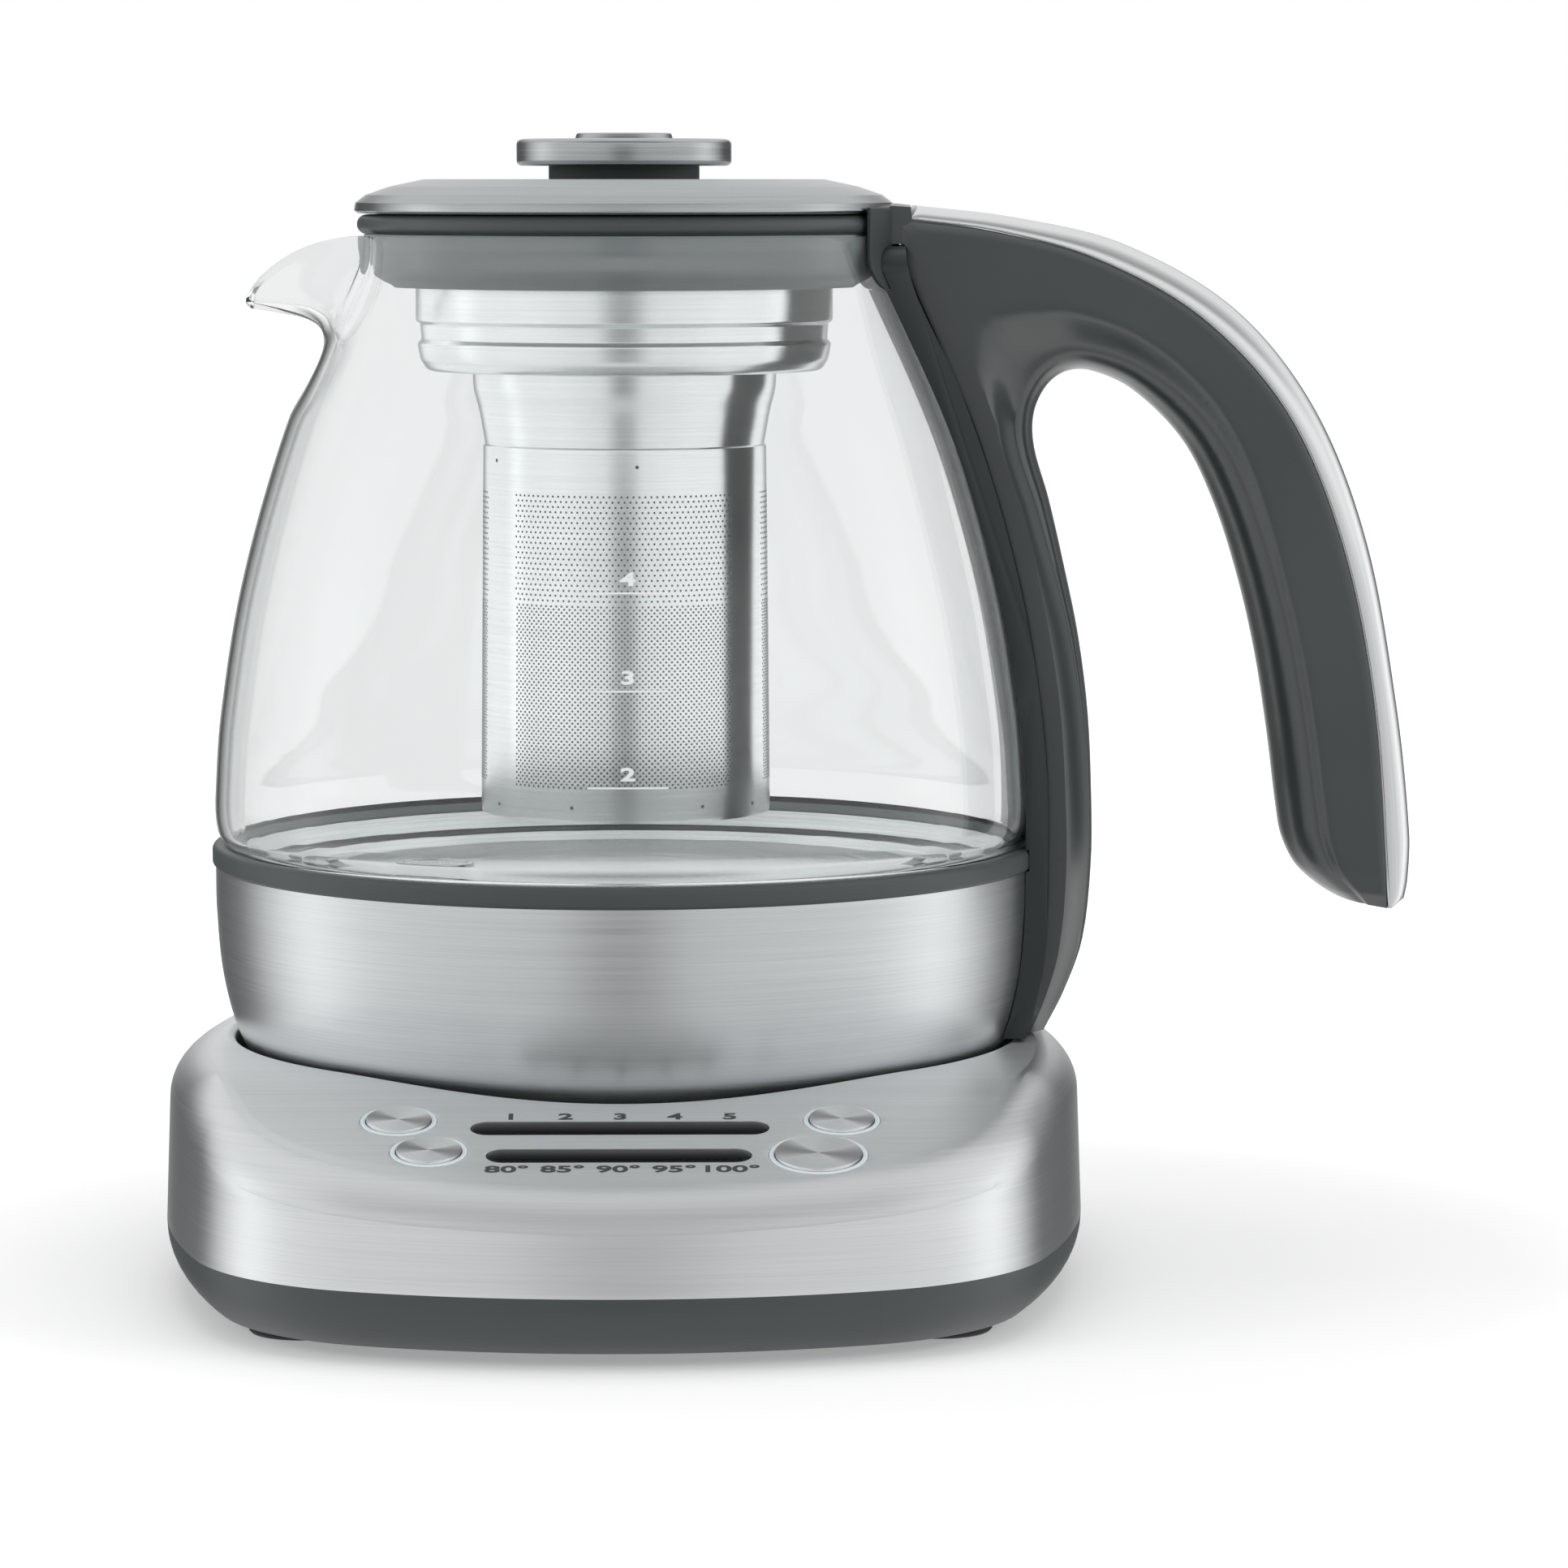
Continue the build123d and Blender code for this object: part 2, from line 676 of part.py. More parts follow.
for name, (across, along, radius) in buttons.items():
    ring_inner = radius + button_gap
    ring_outer = ring_inner + ring_width
    with BuildPart() as light_ring:
        stud(across, along, ring_outer, -ring_depth, ring_proud)
        stud(across, along, ring_outer + ring_flange, -ring_depth, -shell_wall - 2 * fit_gap)
        stud(across, along, ring_inner, -ring_depth, ring_proud, mode=Mode.SUBTRACT)
    save(light_ring, f"{name}_ring")

    with BuildPart() as button:
        stud(across, along, radius, -button_foot, button_proud)
        chamfer(button.faces().sort_by(panel_up)[-1].edges(), button_edge)
        stud(across, along, radius + button_flange, -button_foot, -ring_depth - seat_gap)
    save(button, f"{name}_button")

with BuildPart() as control_board:
    with BuildSketch(panel.offset(board_top - board_thickness)) as board_plan:
        with Locations((0, -board_row)):
            Rectangle(board_length, board_width)
        with Locations([(x, -row) for x in (-board_post_x, board_post_x) for row in board_post_rows]):
            Circle(board_screw_radius + fit_gap, mode=Mode.SUBTRACT)
    extrude(amount=board_thickness)
save(control_board, "control_board")

with BuildPart() as board_screws:
    for across in (-board_post_x, board_post_x):
        for along in board_post_rows:
            stud(across, -along, board_screw_radius, board_top - board_thickness,
                 board_top + board_screw_length)
            stud(across, -along, 2 * board_screw_radius,
                 board_top - board_thickness - board_screw_head, board_top - board_thickness)
save(board_screws, "board_screws")

with BuildPart() as key_switches:
    with BuildSketch(panel.offset(board_top)) as switch_plan:
        with Locations([(across, along) for across, along, radius in buttons.values()]):
            Rectangle(switch_size, switch_size)
    extrude(amount=switch_height)
    for across, along, radius in buttons.values():
        stud(across, along, switch_plunger_radius, board_top + switch_height,
             board_top + switch_height + switch_plunger_height)
save(key_switches, "key_switches")

# ---------------------------------------------------------------- base: power parts
with BuildPart() as power_board:
    with BuildSketch(Plane.XY.offset(power_board_height)) as power_plan:
        with Locations((jug_x + power_board_x, jug_y)):
            Rectangle(power_board_length, power_board_width)
    extrude(amount=board_thickness)
save(power_board, "power_board")

power_top = power_board_height + board_thickness
with BuildPart() as relay:
    with BuildSketch(Plane.XY.offset(power_top)) as relay_plan:
        with Locations((jug_x + power_board_x, jug_y + relay_y)):
            Rectangle(relay_length, relay_width)
    extrude(amount=relay_height)
    fillet(relay.edges().filter_by(Axis.Z), relay_round)
save(relay, "relay")

with BuildPart() as transformer:
    with BuildSketch(Plane.XY.offset(power_top)) as core_plan:
        with Locations((jug_x + power_board_x, jug_y + transformer_y)):
            Rectangle(core_length, core_width)
    extrude(amount=transformer_height)
    with BuildSketch(Plane.XY.offset(power_top + coil_step)) as coil_plan:
        with Locations((jug_x + power_board_x, jug_y + transformer_y)):
            RectangleRounded(coil_length, coil_width, coil_round)
    extrude(amount=transformer_height - 2 * coil_step)
save(transformer, "transformer")

with BuildPart() as buzzer:
    with BuildSketch(Plane.XY.offset(power_top)) as buzzer_plan:
        with Locations((jug_x + power_board_x, jug_y + buzzer_y)):
            Circle(buzzer_radius)
    extrude(amount=buzzer_height)
save(buzzer, "buzzer")

# ---------------------------------------------------------------- jug: connector under it
with BuildPart() as plug_housing:
    revolve(ring(socket_radius + seat_gap, plug_radius, jug_floor_bottom, jug_floor_top + seat_gap),
            axis=jug_axis)
    revolve(ring(socket_radius + seat_gap, plug_radius + plug_flange, jug_floor_top + seat_gap,
                 jug_floor_top + seat_gap + plug_wall), axis=jug_axis)
    revolve(ring(0, socket_radius + seat_gap + plug_wall, jug_floor_top + seat_gap, plug_top),
            axis=jug_axis)
    revolve(ring(0, socket_radius + seat_gap, jug_floor_bottom, plug_top - plug_wall), axis=jug_axis,
            mode=Mode.SUBTRACT)
save(plug_housing, "plug_housing")

plug_roof = plug_top - plug_wall
with BuildPart() as plug_contacts:
    revolve(ring(0, pin_bore - contact_wall - seat_gap, tray_floor_top + plug_pin_step, plug_roof),
            axis=jug_axis)
    revolve(ring(groove_inner + contact_wall + seat_gap, groove_outer - contact_wall - seat_gap,
                 tray_floor_top + plug_ring_step, plug_roof), axis=jug_axis)
    chamfer(plug_contacts.faces().sort_by(Axis.Z)[0].outer_wire().edges(), plug_pin_edge)
save(plug_contacts, "plug_contacts")

# ---------------------------------------------------------------- jug: shell and glass
with BuildPart() as skirt_bores:
    for height in handle_screw_heights:
        with BuildSketch(Plane.YZ.offset(jug_x)) as screw_hole:
            with Locations((jug_y, height)):
                Circle(screw_radius + fit_gap)
        extrude(amount=handle_reach)

with BuildPart() as skirt_inside:
    revolve(skirt_side(-skirt_wall), axis=jug_axis)
    revolve(ring(0, skirt_outline[0][0] - skirt_wall, jug_floor_bottom, jug_floor_top), axis=jug_axis)

with BuildPart() as steel_skirt:
    revolve(skirt_side(0), axis=jug_axis)
    revolve(skirt_side(-skirt_wall), axis=jug_axis, mode=Mode.SUBTRACT)
    add(skirt_bores.part, mode=Mode.SUBTRACT)
save(steel_skirt, "steel_skirt")

with BuildPart() as trim_band:
    revolve(ring(plate_rim + fit_gap, band_radius, band_bottom, band_top), axis=jug_axis)
    band_edges = trim_band.edges().filter_by(GeomType.CIRCLE)
    fillet(band_edges.filter_by(lambda edge: edge.radius > band_radius - fit_gap), band_round)
    revolve(ring(0, glass_outline[0][0] + fit_gap, seal_bottom, glass_top), axis=jug_axis,
            mode=Mode.SUBTRACT)
save(trim_band, "trim_band")

with BuildPart() as glass_seal:
    revolve(ring(glass_outline[0][0] - glass_wall - seal_step, glass_outline[0][0], seal_bottom,
                 glass_bottom), axis=jug_axis)
save(glass_seal, "glass_seal")

lip = [(-reach, height) for reach, height in lip_line]
with BuildPart() as spout_trim:
    with BuildSketch(jug_side) as over_lip:
        with BuildLine():
            Spline(lip)
            Polyline(lip[-1], (-handle_reach, lip[-1][1] - 10), (-handle_reach, 2 * glass_top),
                     (0, 2 * glass_top), (0, glass_top), lip[0])
        make_face()
    extrude(amount=glass_top, both=True)

with BuildPart() as glass_jug:
    revolve(glass_side(0), axis=jug_axis)
    add(spout_form(0))
    revolve(glass_side(-glass_wall), axis=jug_axis, mode=Mode.SUBTRACT)
    add(spout_form(-spout_wall), mode=Mode.SUBTRACT)
    add(spout_trim.part, mode=Mode.SUBTRACT)
save(glass_jug, "glass_jug")

# ---------------------------------------------------------------- jug: heater
with BuildPart() as heater_plate:
    upper = [(0, plate_outline[0][1])] + plate_outline + [(plate_rim, plate_outline[-1][1])]
    lower = [(radius, height - plate_wall) for radius, height in reversed(upper)]
    revolve(outline(upper + lower), axis=jug_axis)
    sensor_stud(sensor_neck + fit_gap, spreader_bottom, plate_outline[0][1] + overrun, Mode.SUBTRACT)
save(heater_plate, "heater_plate")

with BuildPart() as heat_spreader:
    revolve(ring(0, plate_outline[0][0], spreader_bottom, plate_under), axis=jug_axis)
    with Locations([(x, y, spreader_bottom) for x, y in floor_posts]):
        Cylinder(floor_post_radius - spreader_post_step, spreader_bottom - floor_post_top,
                 align=(Align.CENTER, Align.CENTER, Align.MAX))
    with Locations([(x, y, floor_post_top) for x, y in floor_posts]):
        Cylinder(screw_radius + fit_gap, floor_screw_bite,
                 align=(Align.CENTER, Align.CENTER, Align.MIN), mode=Mode.SUBTRACT)
    sensor_stud(sensor_neck + fit_gap, spreader_bottom - overrun, plate_under + overrun, Mode.SUBTRACT)
save(heat_spreader, "heat_spreader")

with BuildPart() as heating_element:
    with BuildSketch(jug_side) as tube:
        with Locations((element_radius, spreader_bottom - element_tube)):
            Circle(element_tube)
    revolve(axis=jug_axis, revolution_arc=element_arc)
save(heating_element, "heating_element")

with BuildPart() as sensor_cap:
    sensor_stud(sensor_neck, spreader_bottom - sensor_depth, plate_outline[0][1] + sensor_proud)
    sensor_stud(sensor_radius, plate_outline[0][1], plate_outline[0][1] + sensor_proud)
    chamfer(sensor_cap.faces().sort_by(Axis.Z)[-1].edges(), sensor_edge)
save(sensor_cap, "sensor_cap")

with BuildPart() as thermal_cutout:
    revolve(ring(0, cutout_radius, spreader_bottom - cutout_thickness, spreader_bottom), axis=jug_axis)
    revolve(ring(0, cutout_radius / 2, spreader_bottom - cutout_depth, spreader_bottom), axis=jug_axis)
save(thermal_cutout, "thermal_cutout")

with BuildPart() as jug_floor:
    revolve(ring(plug_radius + seat_gap, skirt_outline[0][0] - skirt_wall, jug_floor_bottom,
                 jug_floor_top), axis=jug_axis)
    revolve(ring(skirt_outline[0][0] - skirt_wall - fit_gap, skirt_outline[0][0] + floor_lip,
                 jug_floor_top, jug_floor_top + floor_lip_height), axis=jug_axis)
    add(skirt_inside.part, mode=Mode.INTERSECT)
    with Locations([(x, y, jug_floor_bottom) for x, y in floor_posts]):
        Cylinder(floor_post_radius, floor_post_top - jug_floor_bottom,
                 align=(Align.CENTER, Align.CENTER, Align.MIN))
        Cylinder(screw_radius + fit_gap, floor_post_top - jug_floor_bottom,
                 align=(Align.CENTER, Align.CENTER, Align.MIN), mode=Mode.SUBTRACT)
        Cylinder(screw_head_radius + fit_gap, screw_head_height + seat_gap,
                 align=(Align.CENTER, Align.CENTER, Align.MIN), mode=Mode.SUBTRACT)
save(jug_floor, "jug_floor")

# ---------------------------------------------------------------- jug: handle
with BuildPart() as handle_bores:
    for height in handle_screw_heights:
        with BuildSketch(Plane.YZ.offset(jug_x)) as bore:
            with Locations((jug_y, height)):
                Circle(screw_radius + fit_gap)
        extrude(amount=band_radius + handle_screw_bite)

with BuildPart() as rim_clip:
    add(clip_form(fit_gap, clip_thickness, 0))
save(rim_clip, "rim_clip")

with BuildPart() as handle_spine:
    with BuildSketch(jug_side) as spine_outline:
        with BuildLine():
            Spline(spine_line(0))
            Polyline(spine_line(0)[-1], (collar_radius, spine_top),
                     (collar_radius, spine_line(0)[0][1]), spine_line(0)[0])
        make_face()
    extrude(amount=spine_half_width, both=True)
    add(jug_outside(fit_gap), mode=Mode.SUBTRACT)
    add(clip_form(0, clip_thickness + fit_gap, fit_gap), mode=Mode.SUBTRACT)
    add(handle_bores.part, mode=Mode.SUBTRACT)
save(handle_spine, "handle_spine")

with BuildPart() as handle_form:
    with BuildSketch(jug_side) as handle_outline:
        with BuildLine():
            Spline([head_top] + strip_outer)
            Line(strip_outer[-1], grip_tip[0])
            Spline(grip_tip + grip_inside)
            Line(grip_inside[-1], spine_line(fit_gap)[0])
            Spline(spine_line(fit_gap))
            Line(spine_line(fit_gap)[-1], head_top)
        make_face()
    extrude(amount=grip_half_width, both=True)
    sides = handle_form.faces().filter_by(Axis.Y).edges()
    fillet(sides.filter_by(lambda edge: edge.center().X > jug_x + band_radius + 2), grip_round)
    add(jug_outside(fit_gap), mode=Mode.SUBTRACT)
    add(clip_form(0, clip_thickness + fit_gap, fit_gap), mode=Mode.SUBTRACT)
    revolve(ring(0, lid_outline[-1][0] + lid_gap, spine_top, 2 * glass_top), axis=jug_axis,
            mode=Mode.SUBTRACT)

with BuildPart() as strip_zone:
    extrude(strip_side(0), amount=2 * grip_half_width, both=True)

with BuildPart() as strip_recess:
    extrude(strip_side(fit_gap), amount=2 * grip_half_width, both=True)

with BuildPart() as handle_grip:
    add(handle_form.part)
    add(strip_recess.part, mode=Mode.SUBTRACT)
    add(handle_bores.part, mode=Mode.SUBTRACT)
save(handle_grip, "handle_grip")

with BuildPart() as handle_strip:
    add(handle_form.part)
    add(strip_zone.part, mode=Mode.INTERSECT)
save(handle_strip, "handle_strip")

with BuildPart() as handle_screws:
    for height in handle_screw_heights:
        seat = screw_seat(height - screw_head_radius) - fit_gap
        with BuildSketch(Plane.YZ.offset(jug_x + seat)) as shank:
            with Locations((jug_y, height)):
                Circle(screw_radius)
        extrude(amount=handle_screw_bite)
        with BuildSketch(Plane.YZ.offset(jug_x + seat)) as head:
            with Locations((jug_y, height)):
                Circle(screw_head_radius)
        extrude(amount=-screw_head_height)
save(handle_screws, "handle_screws")

with BuildPart() as floor_screws:
    with Locations([(x, y, jug_floor_bottom + screw_head_height + seat_gap) for x, y in floor_posts]):
        Cylinder(screw_radius, floor_screw_length, align=(Align.CENTER, Align.CENTER, Align.MIN))
        Cylinder(screw_head_radius, screw_head_height, align=(Align.CENTER, Align.CENTER, Align.MAX))
save(floor_screws, "floor_screws")

# ---------------------------------------------------------------- infuser
with BuildPart() as infuser_rim:
    revolve(ring(collar_radius + seat_gap, rim_radius, rim_bottom, rim_top), axis=jug_axis)
    rim_edges = infuser_rim.edges().filter_by(GeomType.CIRCLE)
    fillet(rim_edges.filter_by(lambda edge: edge.radius > rim_radius - fit_gap), rim_round)
    revolve(ring(0, collar_radius + collar_flange + fit_gap, rim_top - 2 * steel_sheet,
                 rim_top + overrun), axis=jug_axis, mode=Mode.SUBTRACT)
save(infuser_rim, "infuser_rim")

with BuildPart() as infuser_seal:
    seal_side = [(collar_radius + fit_gap, rim_bottom), (seal_outline[0][0], rim_bottom)]
    seal_side = seal_side + seal_outline + [(collar_radius + fit_gap, seal_outline[-1][1])]
    revolve(outline(seal_side), axis=jug_axis)
save(infuser_seal, "infuser_seal")

collar_floor = collar_floor_bottom + steel_sheet
with BuildPart() as infuser_collar:
    outer_wall = [(collar_radius, rim_top - steel_sheet)] + collar_outline
    inner_wall = [(radius - steel_sheet, height) for radius, height in outer_wall]
    outer_wall = outer_wall + [(collar_floor_radius, collar_floor_bottom), (0, collar_floor_bottom)]
    inner_wall = inner_wall + [(collar_floor_radius - steel_sheet / 2, collar_floor), (0, collar_floor)]
    revolve(outline(outer_wall + list(reversed(inner_wall))), axis=jug_axis)
    revolve(ring(collar_radius - steel_sheet, collar_radius + collar_flange,
                 rim_top - 2 * steel_sheet, rim_top - steel_sheet), axis=jug_axis)
    revolve(ring(0, neck_radius + fit_gap, 0, rim_bottom), axis=jug_axis, mode=Mode.SUBTRACT)
save(infuser_collar, "infuser_collar")

with BuildPart() as infuser_basket:
    outer_wall = [(neck_radius, collar_floor + steel_sheet)] + neck_outline
    outer_wall = outer_wall + [(screen_top_radius, screen_top), (screen_bottom_radius, screen_bottom)]
    inner_wall = [(radius - steel_sheet, height) for radius, height in reversed(outer_wall)]
    revolve(outline(outer_wall + inner_wall), axis=jug_axis)
    revolve(ring(neck_radius - steel_sheet, neck_radius + neck_flange, collar_floor,
                 collar_floor + steel_sheet), axis=jug_axis)
save(infuser_basket, "infuser_basket")

cup_radius = screen_bottom_radius - steel_sheet - fit_gap
with BuildPart() as basket_cup:
    revolve(ring(0, cup_radius, screen_bottom, screen_bottom + cup_height), axis=jug_axis)
    fillet(basket_cup.faces().sort_by(Axis.Z)[0].edges(), 2 * steel_sheet)
    revolve(ring(0, cup_radius - steel_sheet, screen_bottom + steel_sheet,
                 screen_bottom + cup_height), axis=jug_axis, mode=Mode.SUBTRACT)
save(basket_cup, "basket_cup")

# ---------------------------------------------------------------- lid
lid_top = lid_outline[0][1]
liner_skirt_radius = collar_radius - steel_sheet - seat_gap
with BuildPart() as lid_cover:
    outer_side = [(0, lid_top)] + lid_outline + [lid_edge]
    under_side = [(radius - lid_sheet / 2, height - lid_sheet) for radius, height in lid_outline[:-1]]
    under_side = [(0, lid_top - lid_sheet)] + under_side
    under_side = under_side + [(lid_outline[-1][0] - 1.3 * lid_sheet, lid_outline[-1][1]),
                               (lid_edge[0] - lid_sheet, lid_edge[1])]
    revolve(outline(outer_side + list(reversed(under_side))), axis=jug_axis)
    revolve(ring(0, screw_radius + fit_gap, 0, lid_top + overrun), axis=jug_axis, mode=Mode.SUBTRACT)
save(lid_cover, "lid_cover")

with BuildPart() as lid_liner:
    revolve(ring(screw_radius + fit_gap, lid_edge[0] - lid_sheet - seat_gap, lid_edge[1],
                 lid_edge[1] + liner_thickness), axis=jug_axis)
    revolve(ring(screw_radius + fit_gap, 4 * screw_radius, lid_edge[1], lid_top - lid_sheet),
            axis=jug_axis)
    revolve(ring(liner_skirt_radius - liner_thickness, liner_skirt_radius,
                 lid_edge[1] - liner_skirt_depth, lid_edge[1]), axis=jug_axis)
    revolve(ring(0, screw_head_radius + fit_gap, lid_edge[1], lid_edge[1] + screw_head_height),
            axis=jug_axis, mode=Mode.SUBTRACT)
save(lid_liner, "lid_liner")

with BuildPart() as knob_stem:
    revolve(ring(screw_radius + fit_gap, stem_radius, lid_top, knob_bottom), axis=jug_axis)
save(knob_stem, "knob_stem")

with BuildPart() as lid_knob:
    revolve(ring(0, knob_radius, knob_bottom, knob_top), axis=jug_axis)
    fillet(lid_knob.edges().filter_by(GeomType.CIRCLE), knob_round)
    revolve(ring(0, knob_disc_radius, knob_top - overrun, knob_disc_top), axis=jug_axis)
    fillet(lid_knob.faces().sort_by(Axis.Z)[-1].edges(), knob_disc_round)
    revolve(ring(0, screw_radius + fit_gap, knob_bottom, knob_top - knob_skin), axis=jug_axis,
            mode=Mode.SUBTRACT)
save(lid_knob, "lid_knob")

with BuildPart() as knob_screw:
    revolve(ring(0, screw_head_radius, lid_edge[1], lid_edge[1] + screw_head_height), axis=jug_axis)
    revolve(ring(0, screw_radius, lid_edge[1], knob_top - knob_skin - seat_gap), axis=jug_axis)
save(knob_screw, "knob_screw")
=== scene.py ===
import json
from math import asin, atan2, cos, pi, radians, sin, sqrt, tan

import bmesh
import bpy
from mathutils import Matrix, Vector


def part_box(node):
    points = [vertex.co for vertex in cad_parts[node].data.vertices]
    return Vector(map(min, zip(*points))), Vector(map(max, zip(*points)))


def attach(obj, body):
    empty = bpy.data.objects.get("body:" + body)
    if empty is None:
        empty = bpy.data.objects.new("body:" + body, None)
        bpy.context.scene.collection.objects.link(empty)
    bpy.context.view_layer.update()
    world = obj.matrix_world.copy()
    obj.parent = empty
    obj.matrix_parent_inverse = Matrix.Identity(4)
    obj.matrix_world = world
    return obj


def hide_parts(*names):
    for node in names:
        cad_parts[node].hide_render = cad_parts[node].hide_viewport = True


# Automatic tea maker: a glass jug with a lift-out infuser on a powered steel base.
# Sizes are millimetres in the part's own frame, and turn to metres where a mesh is made.

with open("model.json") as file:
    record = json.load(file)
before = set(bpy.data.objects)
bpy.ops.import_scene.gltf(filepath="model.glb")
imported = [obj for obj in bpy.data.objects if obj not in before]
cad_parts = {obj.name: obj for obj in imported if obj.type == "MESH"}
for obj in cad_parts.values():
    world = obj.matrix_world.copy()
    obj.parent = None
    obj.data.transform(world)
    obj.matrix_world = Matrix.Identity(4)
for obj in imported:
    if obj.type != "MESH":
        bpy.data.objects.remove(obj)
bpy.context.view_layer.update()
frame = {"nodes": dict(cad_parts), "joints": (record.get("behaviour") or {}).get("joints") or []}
nodes = frame["nodes"]
MM = 0.001


def span(node):
    """Lowest and highest corner of a node of the frame, in millimetres."""
    low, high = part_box(node)
    return low / MM, high / MM


# ---------------------------------------------------------------- places taken from the frame
band_low, band_high = span("trim_band")
shell_low, shell_high = span("base_shell")
casing_low, casing_high = span("base_casing")
JUG_X = (band_low.x + band_high.x) / 2
JUG_Y = (band_low.y + band_high.y) / 2
JUG_AXIS = Matrix.Translation((JUG_X, JUG_Y, 0))
SEAM = shell_low.z
DECK = shell_high.z
BASE_HALF_WIDTH = JUG_X - casing_low.x
BASE_HALF_DEPTH = (casing_high.y - casing_low.y) / 2
press = next(joint for joint in frame["joints"] if joint["name"] == "steep_press")
PANEL_UP = -Vector(press["axis"]).normalized()
SLOPE = atan2(-PANEL_UP.y, PANEL_UP.z)

# ---------------------------------------------------------------- sizes
# Base: its plan, its shell and the bend where the deck turns down into the control panel
BASE_END_RADIUS = 135.0
BASE_SIDE_RADIUS = 200.0
BASE_CORNER_RADIUS = 45.0
SHELL_WALL = 1.2
SHELL_TAPER = radians(2)
SHOULDER = 7.0
BREAK_Y = JUG_Y - 61.8
PANEL_BLEND = 80.0
WELL_RADIUS = 71.2
WELL_LIP = 1.4
WELL_FLOOR = 30.0

# Rings, buttons and windows: heights are counted square to the panel, from its surface
RINGS = ("steep_ring", "temp_ring", "timer_ring", "start_ring")
RING_LOW = -4.4
RING_HIGH = 0.4
RING_TOP = 0.12
RING_WIDTH = 0.85
RING_FLANGE = 0.2
FLANGE_TOP = -1.4
BUTTON_GAP = 0.15
BUTTON_TURN = 40.0  # what a turn counts as in the brush UV of a button
WINDOWS = ("time_window", "heat_window")
WINDOW_LOW = -3.2
WINDOW_HIGH = 0.2
WINDOW_WIDTH = 5.6
WINDOW_FLANGE = 1.0
WINDOW_EDGE = 2.79  # how far in its top edge is rounded, from how low, and by how much it rises
WINDOW_EDGE_LOW = -0.2
WINDOW_EDGE_RISE = 0.55
CUT_REACH = 5.0
CUT_GAP = 0.1
NUMBER_PITCH = 9.3
NUMBER_STRETCH = 1.45
INK_HALF = 0.02
INK_BOLD = 0.1

# Jug: radius and height of the outside
SKIRT = [(60.5, 31.0), (66.4, 34.9), (70.6, 41.6), (73.4, 52.0), (74.5, 64.0), (74.6, 71.9)]
SKIRT_WALL = 0.9
PLATE_WALL = 0.8
GLASS_FOOT = [(72.6, 75.4), (73.9, 77.2), (74.5, 80.0)]
GLASS = [(74.6, 84.0), (73.5, 99.0), (69.5, 122.7), (62.0, 149.0), (54.9, 166.3), (49.6, 178.5)]
GLASS_MOUTH = [(48.9, 182.0), (48.9, 185.4)]
GLASS_WALL = 1.9
SPOUT_START = 152.0
SPOUT_MIDDLE = [(57.4, 158.5), (55.2, 162.6), (54.3, 166.0), (54.9, 168.7), (57.4, 170.4),
                (61.8, 171.4), (65.4, 172.0), (67.6, 172.4), (68.3, 173.4)]
SPOUT_FLAT = radians(1.5)
SPOUT_SPREAD = radians(19.5)
SPOUT_STEP = 0.75  # degrees from line to line about the spout, where they stand close
SPOUT_STEPS = 34
PLAIN_STEPS = 100

# Infuser's tube: radius and height of its head and foot, then its fields of holes
TUBE_HEAD = (25.65, 147.2)
TUBE_FOOT = (26.3, 82.0)
HOLE_FIELDS = [(120.8, 139.3, 0.925), (87.6, 119.85, 0.546)]  # lowest, highest, from row to row
HOLE_PITCH = 1.07
HOLE_RADIUS = 0.21
FIELD_TURN = radians(98)
# Its spot welds: place across, height and the tube's radius there
WELDS = [(-22.8, 145.2, 25.72), (2.5, 144.6, 25.72), (-22.6, 83.6, 26.33), (-9.3, 84.0, 26.33),
         (14.0, 84.0, 26.33), (23.0, 83.6, 26.33)]
WELD_RADIUS = 0.32

# Handle, in the jug's side plane
SPINE_STAND = 1.4
SPINE_FOOT = 20.0
SPINE_HEAD = 183.6
SPINE_HALF = 20.0
STRIP_HALF = 13.45
STRIP_ROLL = 4.2
STRIP_OUTER = [(51.5, 190.9), (71.0, 188.6), (89.9, 183.9), (109.9, 172.2), (124.2, 154.5),
               (133.7, 130.9), (139.5, 101.1), (142.1, 78.0), (141.9, 69.5), (141.1, 65.0)]
STRIP_INNER = [(51.5, 188.3), (67.0, 186.2), (84.6, 181.3), (103.3, 171.0), (118.9, 154.0),
               (129.1, 130.2), (135.2, 100.9), (138.1, 64.2)]
GRIP_INSIDE = [(76.4, 41.6), (80.0, 48.5), (83.4, 58.0), (84.9, 72.0), (84.9, 84.0),
               (84.2, 99.0), (82.4, 113.0), (79.7, 126.0), (76.9, 138.0), (74.2, 147.5),
               (74.2, 153.5), (76.5, 158.4), (80.0, 160.9), (84.5, 161.0), (92.0, 157.6),
               (101.1, 148.6), (106.8, 137.5), (111.3, 123.9), (114.6, 110.0), (117.0, 95.2),
               (118.7, 82.0), (119.9, 75.8), (123.0, 70.2), (130.0, 65.3), (137.8, 64.0)]
HEAD_RADIUS = 49.2
HEAD_HALF = 13.35
HEAD_TOP = 191.2
HEAD_EDGE = 0.6
STRIP_STEP = 0.07  # how far the grip lies within the strip's inner line


